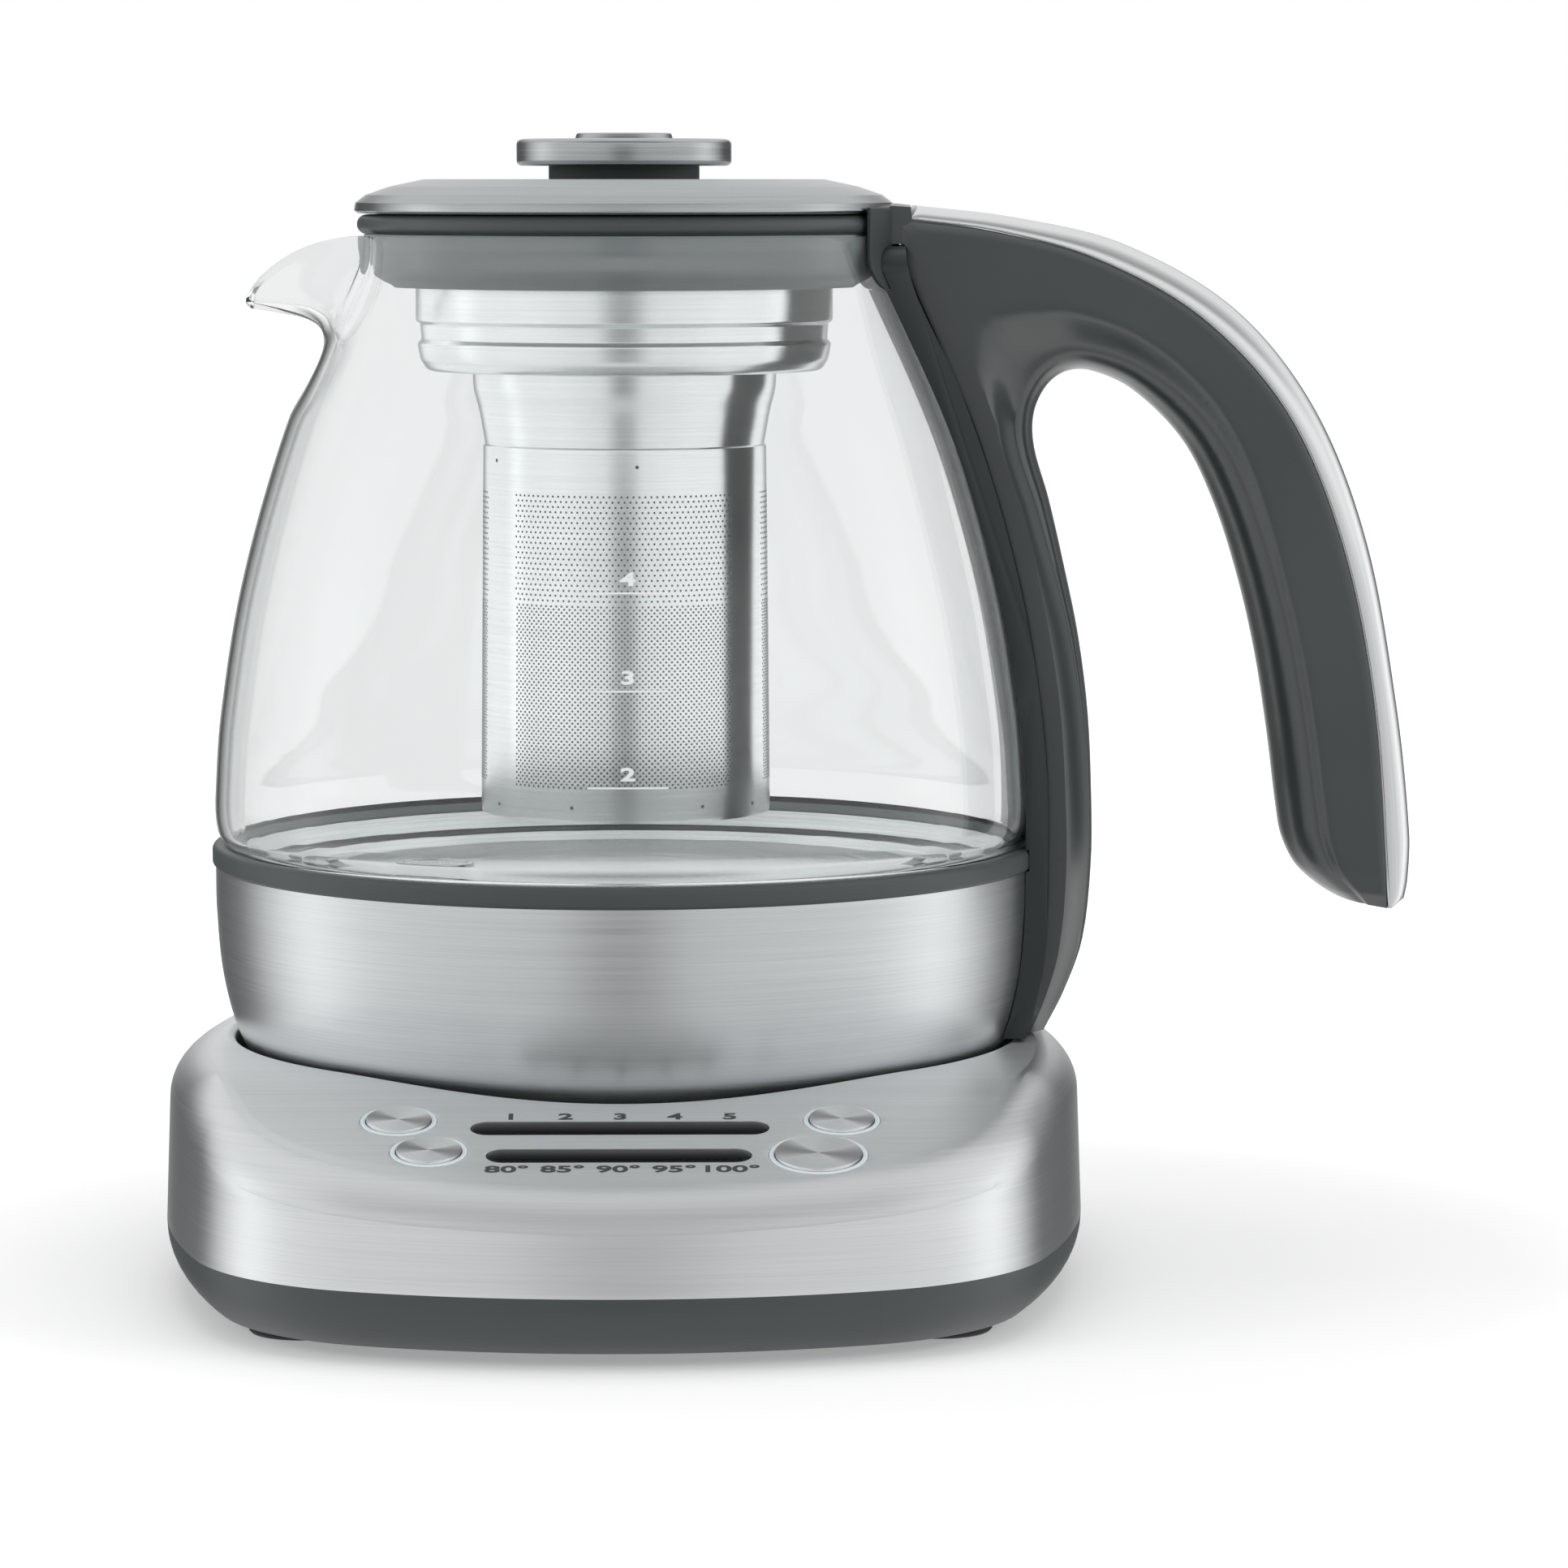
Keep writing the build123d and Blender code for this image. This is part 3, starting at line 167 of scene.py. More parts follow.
# ---------------------------------------------------------------- curves
def spline(points, steps=8):
    """A smooth line through points, with steps runs between each two."""
    points = [Vector(point) for point in points]
    ends = [2 * points[0] - points[1], *points, 2 * points[-1] - points[-2]]
    line = []
    for a, b, c, d in zip(ends, ends[1:], ends[2:], ends[3:]):
        before, reach, after = (b - a).length, (c - b).length, (d - c).length
        out = (c - a) * reach / max(reach + before, 1e-9)
        into = (d - b) * reach / max(after + reach, 1e-9)
        for step in range(steps):
            t = step / steps
            line.append(b * (2 * t**3 - 3 * t**2 + 1) + out * (t**3 - 2 * t**2 + t)
                        + c * (3 * t**2 - 2 * t**3) + into * (t**3 - t**2))
    return line + [points[-1]]


def rounded(points, steps=6):
    """An outline of (reach, height) points. One with a third value has its corner rounded by it."""
    line = []
    for index, point in enumerate(points):
        if len(point) == 2:
            line.append(Vector(point))
            continue
        corner = Vector(point[:2])
        back = (Vector(points[index - 1][:2]) - corner).normalized()
        ahead = (Vector(points[(index + 1) % len(points)][:2]) - corner).normalized()
        half = back.angle(ahead) / 2
        length = point[2] / tan(half)
        centre = corner + (back + ahead).normalized() * point[2] / sin(half)
        start = corner + back * length - centre
        end = corner + ahead * length - centre
        for step in range(steps + 1):
            t = step / steps
            arm = start.slerp(end, t) if start.angle(end) > 1e-4 else start
            line.append(centre + arm.normalized() * point[2])
    return line


def distances(line):
    """How far along a line each of its points lies."""
    places = [0.0]
    for a, b in zip(line, line[1:]):
        places.append(places[-1] + (b - a).length)
    return places


def along(line, share):
    """The point at a share of a line's length."""
    places = distances(line)
    goal = share * places[-1]
    for index in range(1, len(line)):
        if places[index] >= goal or index == len(line) - 1:
            run = places[index] - places[index - 1]
            t = (goal - places[index - 1]) / run if run else 0.0
            return line[index - 1].lerp(line[index], t)


def share_of(line, point):
    """Share of a line's length at its point nearest to another."""
    places = distances(line)
    nearest = min(range(len(line)), key=lambda index: (line[index] - Vector(point)).length)
    return places[nearest] / places[-1]


def between(value, table):
    """A value read off a table of (place, value) rows, in straight runs."""
    for (a, low), (b, high) in zip(table, table[1:]):
        if value <= b:
            return low + (high - low) * (value - a) / (b - a)
    return table[-1][1]


# ---------------------------------------------------------------- meshes
def placed(name, data):
    """A new object of the scene, which holds a mesh, letters, a lamp or a camera."""
    holder = bpy.data.objects.new(name, data)
    bpy.context.scene.collection.objects.link(holder)
    return holder


def plain(holder):
    """An object's mesh with its modifiers or letters worked out. The object goes."""
    bpy.context.view_layer.update()
    worked_out = holder.evaluated_get(bpy.context.evaluated_depsgraph_get())
    mesh = bpy.data.meshes.new_from_object(worked_out)
    bpy.data.objects.remove(holder)
    return mesh


def finished(mesh, *modifiers):
    """The mesh with modifiers applied; each is (kind, settings). A mesh among the settings stands
    in the scene as a cutter meanwhile."""
    holder = placed("holder", mesh)
    cutters = []
    for kind, settings in modifiers:
        modifier = holder.modifiers.new(kind.lower(), kind)
        for key, value in settings.items():
            if isinstance(value, bpy.types.Mesh):
                value = placed("cutter", value)
                cutters.append(value)
            setattr(modifier, key, value)
    result = plain(holder)
    for cutter in cutters:
        bpy.data.objects.remove(cutter)
    return result


def joined(meshes):
    """Several meshes as one."""
    body = bmesh.new()
    for mesh in meshes:
        body.from_mesh(mesh)
    whole = bpy.data.meshes.new("piece")
    body.to_mesh(whole)
    body.free()
    return whole


def grid(rings, uvs=lambda a, b: (a, b), wrap_lines=True, caps=False):
    """A mesh over rings of points in millimetres, with a UV in millimetres for each point. The last
    ring meets the first, or else the two are capped."""
    body = bmesh.new()
    layer = body.loops.layers.uv.new("brush")
    count = len(rings[0])
    verts = [[body.verts.new(Vector(point) * MM) for point in line] for line in rings]
    for i in range(len(rings) - 1 if caps else len(rings)):
        for j in range(count if wrap_lines else count - 1):
            corners = [(i, j), (i + 1, j), (i + 1, j + 1), (i, j + 1)]
            face = body.faces.new([verts[a % len(rings)][b % count] for a, b in corners])
            for loop, (a, b) in zip(face.loops, corners):
                loop[layer].uv = uvs(a, b)
    if caps:
        for ring in (verts[0], verts[-1]):
            body.faces.new(ring)
    bmesh.ops.remove_doubles(body, verts=body.verts, dist=1e-7)
    bmesh.ops.dissolve_degenerate(body, edges=body.edges, dist=1e-8)
    bmesh.ops.recalc_face_normals(body, faces=body.faces)
    mesh = bpy.data.meshes.new("piece")
    body.to_mesh(mesh)
    body.free()
    return mesh


def turned(profile, place=JUG_AXIS, segments=192, length=None):
    """A mesh turned from a closed outline of (radius, height) points about the jug's or another
    axis. Length is what a turn counts as in the brush UV; the real one unless given."""
    walked = distances([Vector(point) for point in profile + profile[:1]])
    rings = []
    for step in range(segments):
        turn = radians(90) + 2 * pi * step / segments
        rings.append([place @ Vector((r * cos(turn), r * sin(turn), z)) for r, z in profile])
    length = length or 2 * pi * max(r for r, z in profile)
    return grid(rings, lambda a, b: (length * a / segments, walked[b]))


def make(name, mesh, body, material, stands_for=(), sharp=35):
    """Links a finished mesh as a piece of the object, on its body, with its material."""
    mesh.materials.clear()
    mesh.materials.append(material)
    mesh.shade_smooth()
    mesh.set_sharp_from_angle(angle=radians(sharp))
    piece = placed(name, mesh)
    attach(piece, body)
    if stands_for:
        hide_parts(*stands_for)


# ---------------------------------------------------------------- materials
def colour(code):
    """An sRGB hex code as the linear colour that a shader takes."""
    parts = [int(code[i:i + 2], 16) / 255 for i in (1, 3, 5)]
    return [c / 12.92 if c <= 0.04045 else ((c + 0.055) / 1.055) ** 2.4 for c in parts] + [1.0]


def add(tree, kind, inputs=None, stops=(), **settings):
    """Adds one node. Kind is its type, which for a shader's goes without ShaderNode. Inputs maps a
    socket's name or number to a value, to another node's output, or to another node, whose first
    output in use is meant. Stops are a colour ramp's. Settings are the node's own."""
    made = tree.nodes.new(kind if "Node" in kind else f"ShaderNode{kind}")
    for key, value in settings.items():
        setattr(made, key, value)
    for key, value in (inputs or {}).items():
        if isinstance(value, bpy.types.Node):
            value = next(output for output in value.outputs if output.enabled)
        if isinstance(value, bpy.types.NodeSocket):
            tree.links.new(value, made.inputs[key])
        else:
            made.inputs[key].default_value = value
    for index, (place, tone) in enumerate(stops):
        elements = made.color_ramp.elements
        while len(elements) < len(stops):
            elements.new(0.5)
        elements[index].position = place
        elements[index].color = tone
    return made


def material_named(name):
    """A new material, and its node tree with nothing in it yet."""
    material = bpy.data.materials.new(name)
    material.use_nodes = True
    material.node_tree.nodes.clear()
    return material, material.node_tree


def brushed_steel(name, tone, dark, roughness, pitch=0.35, depth=0.003, aniso=0.7, painted_wedge_shade=None):
    """Stainless steel sheet brushed with an abrasive belt: fine lines along the work, which draw
    each light out across them. The lines are drawn at pitch millimetres, coarser than real grit, to
    show. A darker tone given for a turned face is painted into its colour in two wedges round its
    middle: painted shade standing in for how its rings throw light back."""
    material, tree = material_named(name)
    where = add(tree, "UVMap", uv_map="brush")
    fine = add(tree, "Mapping", {"Vector": where, "Scale": (0.02, 1 / pitch, 1)})
    lines = add(tree, "TexNoise", {"Vector": fine, "Scale": 1.0, "Detail": 3.0})
    wide = add(tree, "Mapping", {"Vector": where, "Scale": (0.006, 0.25, 1)})
    bands = add(tree, "TexNoise", {"Vector": wide, "Scale": 1.0, "Detail": 2.0})
    both = add(tree, "Math", {0: bands, 1: 0.4, 2: lines}, operation="MULTIPLY_ADD")
    share = add(tree, "MapRange", {"Value": both, "From Min": 0.45, "From Max": 0.95})
    tint = add(tree, "Mix", {"Factor": share, 6: colour(dark), 7: colour(tone)}, data_type="RGBA")
    # Painted shade: two dark wedges round a turned face's middle, painted into its colour
    if painted_wedge_shade:
        wedge = add(tree, "Math", {0: add(tree, "SeparateXYZ", {0: where}),
                                             1: 4 * pi / BUTTON_TURN, 2: radians(-65)},
                    operation="MULTIPLY_ADD")
        wave = add(tree, "Math", {0: wedge}, operation="SINE")
        painted_wedge_share = add(tree, "MapRange", {"Value": wave, "From Min": 0.25, "From Max": 1.0,
                                               "To Max": 0.85})
        tint = add(tree, "Mix", {"Factor": painted_wedge_share, 6: tint, 7: colour(painted_wedge_shade)}, data_type="RGBA")
    rough = add(tree, "MapRange", {
        "Value": lines, "From Min": 0.3, "From Max": 0.7, "To Min": roughness - 10 * depth,
        "To Max": roughness + 13 * depth})
    bump = add(tree, "Bump", {"Height": lines, "Strength": 0.25, "Distance": depth * MM})
    grain = add(tree, "Tangent", direction_type="UV_MAP", uv_map="brush")
    steel = add(tree, "BsdfPrincipled", {
        "Base Color": tint, "Metallic": 1.0, "Roughness": rough, "Anisotropic": aniso,
        "Anisotropic Rotation": 0.25, "Normal": bump, "Tangent": grain})
    add(tree, "OutputMaterial", {"Surface": steel})
    return material


def moulded(name, tone, dark, roughness, grain=0.35, depth=0.02, **more):
    """A moulded plastic or rubber: an even body colour, and the fine spark texture of its mould,
    which breaks up its highlights. Grain is the texture's size and depth its depth, in
    millimetres. More are further sockets of its shader."""
    material, tree = material_named(name)
    where = add(tree, "TexCoord").outputs["Object"]
    spark = add(tree, "TexNoise", {"Vector": where, "Scale": 1 / (grain * MM), "Detail": 3.0})
    cloud = add(tree, "TexNoise", {"Vector": where, "Scale": 22.0, "Detail": 2.0})
    tint = add(tree, "Mix", {"Factor": cloud, 6: colour(dark), 7: colour(tone)}, data_type="RGBA")
    rough = add(tree, "MapRange", {
        "Value": cloud, "From Min": 0.3, "From Max": 0.7, "To Min": roughness - 0.04,
        "To Max": roughness + 0.05})
    bump = add(tree, "Bump", {"Height": spark, "Strength": 0.25, "Distance": depth * MM})
    body = add(tree, "BsdfPrincipled", {
        "Base Color": tint, "Roughness": rough, "Normal": bump,
        **{key.replace("_", " "): value for key, value in more.items()}})
    add(tree, "OutputMaterial", {"Surface": body})
    return material


def clear_glass(name, edge):
    """Borosilicate glass, blown into a mould: clear in the middle and grey along its edges, a
    painted shade that grows as the wall turns away from the eye, with the faint waves of blown
    glass."""
    material, tree = material_named(name)
    rim = add(tree, "LayerWeight", {"Blend": 0.32})
    # Painted shade: the edge grey, laid on by how far the wall faces away from the eye
    tint = add(tree, "ValToRGB", {"Fac": rim.outputs["Facing"]}, [
        (0.55, colour("#fdfefe")), (0.67, colour("#dfe3e3")), (0.74, colour(edge))])
    depth = add(tree, "VolumeAbsorption", {"Color": (0.06, 0.1, 0.09, 1), "Density": 40.0})
    where = add(tree, "TexCoord").outputs["Object"]
    waves = add(tree, "TexNoise", {"Vector": where, "Scale": 18.0, "Detail": 1.0})
    bump = add(tree, "Bump", {"Height": waves, "Strength": 0.02, "Distance": 0.2 * MM})
    glass = add(tree, "BsdfPrincipled", {
        "Base Color": tint, "Roughness": 0.0, "IOR": 1.47, "Transmission Weight": 1.0,
        "Normal": bump})
    add(tree, "OutputMaterial", {"Surface": glass, "Volume": depth})
    return material


# 18/8 stainless steel, belt brushed: pale and even, for the large outer shells; the lid's darker
# tone is painted shade
shell_steel = brushed_steel("brushed_stainless_shell", "#eff1f2", "#e2e5e6", 0.38, aniso=0.8)
skirt_steel = brushed_steel("brushed_stainless_skirt", "#e3e6e7", "#d5d8da", 0.33, aniso=0.6)
lid_steel_with_painted_shade = brushed_steel("brushed_stainless_lid", "#c3c7c8", "#aeb2b4", 0.27, pitch=0.3)
# The same, drawn and lightly brushed, for the infuser and the strip on the handle; their brighter
# tone is painted light
infuser_steel = brushed_steel("drawn_stainless_infuser", "#f1f3f3", "#e7e9ea", 0.24, pitch=0.5,
                              depth=0.0006, aniso=0.6)
strip_steel = brushed_steel("brushed_stainless_strip", "#f3f4f4", "#e4e7e8", 0.24, pitch=0.5,
                            aniso=0.4)
# Stainless steel pressed and left bright, for the floor of the jug
plate_steel = brushed_steel("pressed_stainless_plate", "#dcdfe0", "#c8cccd", 0.17, pitch=0.8,
                            aniso=0.3)
# Stainless steel faced on a lathe: fine rings, which fan the light out from the middle, with two
# dark wedges of painted shade in its colour
button_steel = brushed_steel("turned_stainless_button", "#f6f7f7", "#e8e9ea", 0.3, pitch=0.3,
                             aniso=0.85, painted_wedge_shade="#8f8a8b")
# Stainless steel bar turned on a lathe, for the knob
knob_steel = brushed_steel("turned_stainless_knob", "#c9cccd", "#abafb1", 0.25, pitch=0.5,
                           aniso=0.5)
# Glass-filled polypropylene, moulded with a fine satin texture: slate grey
handle_plastic = moulded("satin_polypropylene_handle", "#363d3d", "#313738", 0.3,
                         Specular_IOR_Level=0.8, Coat_Weight=1.0, Coat_Roughness=0.28)
spine_plastic = moulded("satin_polypropylene_spine", "#2c3233", "#282d2e", 0.38)
casing_plastic = moulded("satin_polypropylene_casing", "#474c4e", "#424749", 0.4,
                         Specular_IOR_Level=0.6)
trim_plastic = moulded("satin_polypropylene_trim", "#4b5052", "#434849", 0.4)
inner_plastic = moulded("matt_polypropylene_inner", "#3a3e40", "#323638", 0.55)
# Silicone rubber, compression moulded: soft and slightly waxy
dark_silicone = moulded("dark_silicone_rim", "#4c5153", "#444849", 0.38, Subsurface_Weight=0.05)
grey_silicone = moulded("grey_silicone_seal", "#a7acae", "#9ca2a4", 0.5, Subsurface_Weight=0.1)
# Carbon-filled rubber, moulded: dull and nearly black
foot_rubber = moulded("black_rubber_feet", "#2a2c2d", "#242627", 0.7, grain=0.5)
# The grey given is painted shade along the glass's edges
jug_glass = clear_glass("borosilicate_glass", "#39403f")
# Smoked acrylic lens: black and glossy
window_acrylic = moulded("smoked_acrylic_window", "#0b0d0e", "#07080a", 0.12, depth=0.0,
                         Specular_IOR_Level=0.12)
# Diffusing polycarbonate ring round each button: milky
ring_polycarbonate = moulded("diffusing_polycarbonate_ring", "#e6ecee", "#dde3e5", 0.3,
                             Subsurface_Weight=0.1)
# Screen inks: dark on steel, and white fired enamel on glass
dark_ink = moulded("dark_screen_ink", "#33383a", "#2d3133", 0.5, depth=0.005)
white_enamel = moulded("white_fired_enamel", "#fdfefe", "#f6f8f8", 0.35, depth=0.01)
# Painted shade that a punched hole shows the eye, laid on dark discs; the spot-weld dots are given
# the same dark
hole_shade_and_weld_dark = moulded("shadow_in_punched_hole", "#6d7274", "#65696b", 0.6, depth=0.005)
# Inside the base and under the jug: resins, lacquer and plain metals as bought
chip_lens = moulded("clear_epoxy_lens", "#e8e4c8", "#ddd9bb", 0.2)
board_lacquer = moulded("green_board_lacquer", "#1f5a34", "#184a2a", 0.35)
part_resin = moulded("black_epoxy_resin", "#1d1e20", "#17181a", 0.45)
core_iron = moulded("laminated_core_iron", "#4f4a45", "#3f3b37", 0.5, Metallic=0.6)
cast_aluminium = moulded("cast_aluminium", "#b3b6b8", "#9ea1a3", 0.45, grain=0.8, depth=0.05,
                         Metallic=1.0)
element_sheath = moulded("oxidised_element_sheath", "#6d6a66", "#5b5854", 0.4, Metallic=1.0)
contact_brass = moulded("plated_brass_contact", "#c9a85c", "#b8974c", 0.25, Metallic=1.0)
screw_zinc = moulded("zinc_plated_screw", "#b9bcbe", "#a7abad", 0.35, Metallic=1.0)

# ---------------------------------------------------------------- camera, floor and light
CAMERA_REACH = 1057.5
CAMERA_HEIGHT = 195.9
CAMERA_ROUND = radians(0.8)
CAMERA_TURN = radians(-1.564)
CAMERA_TILT = radians(90 - 5.95)
FLOOR_HALF = 30.0  # metres
# Glow of the floor close to the object, below its glow further out: painted shadow
PAINTED_SHADOW_GLOW = 0.3


def make_camera():
    """The camera, in front of the jug's axis and a little round it."""
    data = bpy.data.cameras.new("camera")
    data.lens = 133.73
    data.sensor_width = 36.0
    data.clip_start = 0.05
    camera = placed("camera", data)
    around = Matrix.Translation((JUG_X * MM, JUG_Y * MM, 0)) @ Matrix.Rotation(CAMERA_ROUND, 4, "Z")
    place = Matrix.Translation((0, -CAMERA_REACH * MM, CAMERA_HEIGHT * MM))
    aim = Matrix.Rotation(CAMERA_TURN, 4, "Z") @ Matrix.Rotation(CAMERA_TILT, 4, "X")
    camera.matrix_world = around @ place @ aim
    bpy.context.scene.camera = camera


def make_floor():
    """A wide white floor that keeps the object's shadow, and runs out into the white backdrop. Its
    glow is dimmed near the object, a painted shadow round its foot.
    """
    mesh = bpy.data.meshes.new("floor")
    corners = [(x * FLOOR_HALF, y * FLOOR_HALF, 0) for x, y in ((-1, -1), (1, -1), (1, 1), (-1, 1))]
    mesh.from_pydata(corners, [], [(0, 1, 2, 3)])
    floor = placed("floor", mesh)
    material, tree = material_named("white_paper_sweep")
    path = add(tree, "LightPath").outputs
    seen = add(tree, "Math", {0: path["Is Camera Ray"], 1: path["Is Glossy Ray"]},
               operation="MAXIMUM")
    shown = add(tree, "Math", {0: seen, 1: path["Is Transmission Ray"]}, operation="MAXIMUM")
    where = add(tree, "TexCoord").outputs["Object"]
    reach = add(tree, "VectorMath", {0: where}, operation="LENGTH")
    # Painted shadow: the floor's glow is lower near the object and rises outwards
    near = add(tree, "MapRange", {"Value": reach, "From Min": 0.13, "From Max": 0.36,
                                            "To Min": PAINTED_SHADOW_GLOW, "To Max": 0.75})
    level = add(tree, "Math", {0: shown, 1: near}, operation="MULTIPLY")
    glow = add(tree, "Emission", {"Color": (1, 1, 1, 1), "Strength": level})
    paper = add(tree, "BsdfPrincipled", {"Base Color": colour("#dadada"), "Roughness": 0.9})
    both = add(tree, "AddShader", {0: paper, 1: glow})
    add(tree, "OutputMaterial", {"Surface": both})
    mesh.materials.append(material)
    floor.visible_glossy = False
    floor.visible_transmission = False


# Light of the studio's walls, from 0 in front of the object to 1 behind it
WALLS = [(0.0, 0.22), (0.04, 0.30), (0.10, 0.62), (0.30, 0.72), (0.42, 0.84), (0.55, 1.25),
         (0.64, 0.80), (0.74, 0.16), (0.90, 0.10), (0.97, 0.85)]
# The least light that anything within the glass mirrors, in the same way
WITHIN_GLASS = [(0.0, 0.30), (0.035, 0.42), (0.08, 0.85), (0.30, 1.0), (0.82, 0.98), (0.90, 0.25)]


def make_world():
    """A white studio. What metal and glass mirror has a darker strip in front and dark flags
    behind, left and right, a grey ceiling and a white strip light high in front. A second
    reflection, and one within the glass, is lighter."""
    world = bpy.data.worlds.new("studio")
    bpy.context.scene.world = world
    world.use_nodes = True
    tree = world.node_tree
    tree.nodes.clear()
    split = add(tree, "SeparateXYZ", {0: add(tree, "TexCoord").outputs["Generated"]})
    path = add(tree, "LightPath")
    values = {socket.name: socket for node in (split, path) for socket in node.outputs}
    # Each row is a name, a mapping or a sum, and its terms: values, sockets or earlier rows
    for name, operation, *terms in (
            ("side", "ABSOLUTE", "X"),
            ("front", "MULTIPLY", "Y", -1.0),
            ("turn", "ARCTAN2", "side", "front"),
            ("share", "DIVIDE", "turn", pi),
            ("high", "MAP", "Z", 0.2, 0.5),
            ("ceiling", "MAP", "front", 0.1, 0.7, 0.85, 0.32),
            ("low", "MAP", "Z", -0.3, -0.65),
            ("off strip", "SUBTRACT", "Z", 0.27),
            ("far off", "ABSOLUTE", "off strip"),
            ("strip", "MAP", "far off", 0.18, 0.1),
            ("facing", "MAP", "front", 0.2, 0.5),
            ("strip light", "MULTIPLY", "strip", "facing"),
            ("again", "GREATER_THAN", "Glossy Depth", 1.5),
            ("level", "LESS_THAN", "Z", 0.35),
            ("bright", "MULTIPLY", "again", "level"),
            ("within", "GREATER_THAN", "Transmission Depth", 0.5),
            ("lifted", "MULTIPLY_ADD", "within", 0.25, 1.0),
            ("bounced", "GREATER_THAN", "Glossy Depth", 0.5),
            ("direct", "SUBTRACT", "Is Transmission Ray", "bounced"),
            ("seen", "MAXIMUM", "Is Camera Ray", "direct"),
            ("glossy", "MAXIMUM", "Is Glossy Ray", "bounced")):
        inputs = {place: values.get(term, term) for place, term in enumerate(terms)}
        if operation == "MAP":
            values[name] = add(tree, "MapRange", inputs)
        else:
            values[name] = add(tree, "Math", inputs, operation=operation)
    mirrored, within_glass = [add(tree, "ValToRGB", {"Fac": values["share"]}, [
        (place, (level, level, level, 1)) for place, level in stops])
        for stops in (WALLS, WITHIN_GLASS)]
    for part, light, blend in (("high", values["ceiling"], "MIX"),
                               ("low", (0.9, 0.9, 0.9, 1), "MIX"),
                               ("strip light", (1, 1, 1, 1), "MIX"),
                               ("bright", (0.95, 0.95, 0.95, 1), "MIX"),
                               ("within", within_glass, "LIGHTEN")):
        mirrored = add(tree, "Mix", {"Factor": values[part], 6: mirrored, 7: light},
                       data_type="RGBA", blend_type=blend)
    even, studio, white = [
        add(tree, "Background", {"Color": light, "Strength": strength})
        for light, strength in (((1, 1, 1, 1), 0.55), (mirrored, values["lifted"]),
                                ((1, 1, 1, 1), 1.0))]
    first = add(tree, "MixShader", {"Fac": values["glossy"], 1: even, 2: studio})
    last = add(tree, "MixShader", {"Fac": values["seen"], 1: first, 2: white})
    add(tree, "OutputWorld", {"Surface": last})


def make_lamp(name, place, size, power):
    """A square soft box that faces the middle of the object."""
    data = bpy.data.lights.new(name, "AREA")
    data.shape = "SQUARE"
    data.size = size
    data.energy = power
    lamp = placed(name, data)
    lamp.location = place
    aim = Vector((0, 0, 0.1)) - Vector(place)
    lamp.rotation_euler = aim.to_track_quat("-Z", "Y").to_euler()
    lamp.visible_glossy = False
    lamp.visible_transmission = False


make_camera()
make_floor()
make_world()
make_lamp("soft_box_left", (-1.3, -0.45, 0.6), 0.8, 5.0)
make_lamp("soft_box_right", (1.3, -0.45, 0.6), 0.8, 6.5)
make_lamp("soft_box_top", (0.0, 0.1, 1.5), 1.2, 8.0)
bpy.context.scene.view_settings.view_transform = "Standard"


# ---------------------------------------------------------------- base
def base_plan(steps=24):
    """Points round the base's plan, with the way outwards at each, from its right side round the
    front. The front right quarter is worked out from the base's own middle, then mirrored."""
    end = Vector((0, BASE_END_RADIUS - BASE_HALF_DEPTH))
    side = Vector((BASE_HALF_WIDTH - BASE_SIDE_RADIUS, 0))
    to_end = BASE_END_RADIUS - BASE_CORNER_RADIUS
    to_side = BASE_SIDE_RADIUS - BASE_CORNER_RADIUS
    apart = (end - side).length
    share = (to_side**2 - to_end**2 + apart**2) / (2 * apart)
    height = sqrt(to_side**2 - share**2)
    way = (end - side) / apart
    corner = side + way * share + Vector((way.y, -way.x)) * height
    end_turn = atan2(corner.y - end.y, corner.x - end.x)
    side_turn = atan2(corner.y - side.y, corner.x - side.x)
    quarter = []
    for centre, radius, start, stop in ((side, BASE_SIDE_RADIUS, 0, side_turn),
                                        (corner, BASE_CORNER_RADIUS, side_turn, end_turn),
                                        (end, BASE_END_RADIUS, end_turn, -pi / 2)):
        for step in range(steps):
            turn = start + (stop - start) * step / steps
            out = Vector((cos(turn), sin(turn)))
            quarter.append((centre + radius * out, out))
    quarter.append((end + Vector((0, -BASE_END_RADIUS)), Vector((0, -1))))
    half = quarter + [(Vector((-p.x, p.y)), Vector((-n.x, n.y))) for p, n in quarter[-2::-1]]
    whole = half + [(Vector((p.x, -p.y)), Vector((n.x, -n.y))) for p, n in half[-2:0:-1]]
    return [(p + Vector((JUG_X, 0)), n) for p, n in whole]


def deck_height(y):
    """Height of the deck and of the sloping control panel at a depth."""
    reach = PANEL_BLEND * tan(SLOPE / 2)
    if y >= BREAK_Y + reach:
        return DECK
    if y <= BREAK_Y - reach * cos(SLOPE):
        return DECK - (BREAK_Y - y) * tan(SLOPE)
    return DECK - PANEL_BLEND + sqrt(PANEL_BLEND**2 - (y - BREAK_Y - reach)**2)


WALL_STEPS = 8
SHOULDER_STEPS = 10
DECK_STEPS = 14
LIP_STEPS = 6


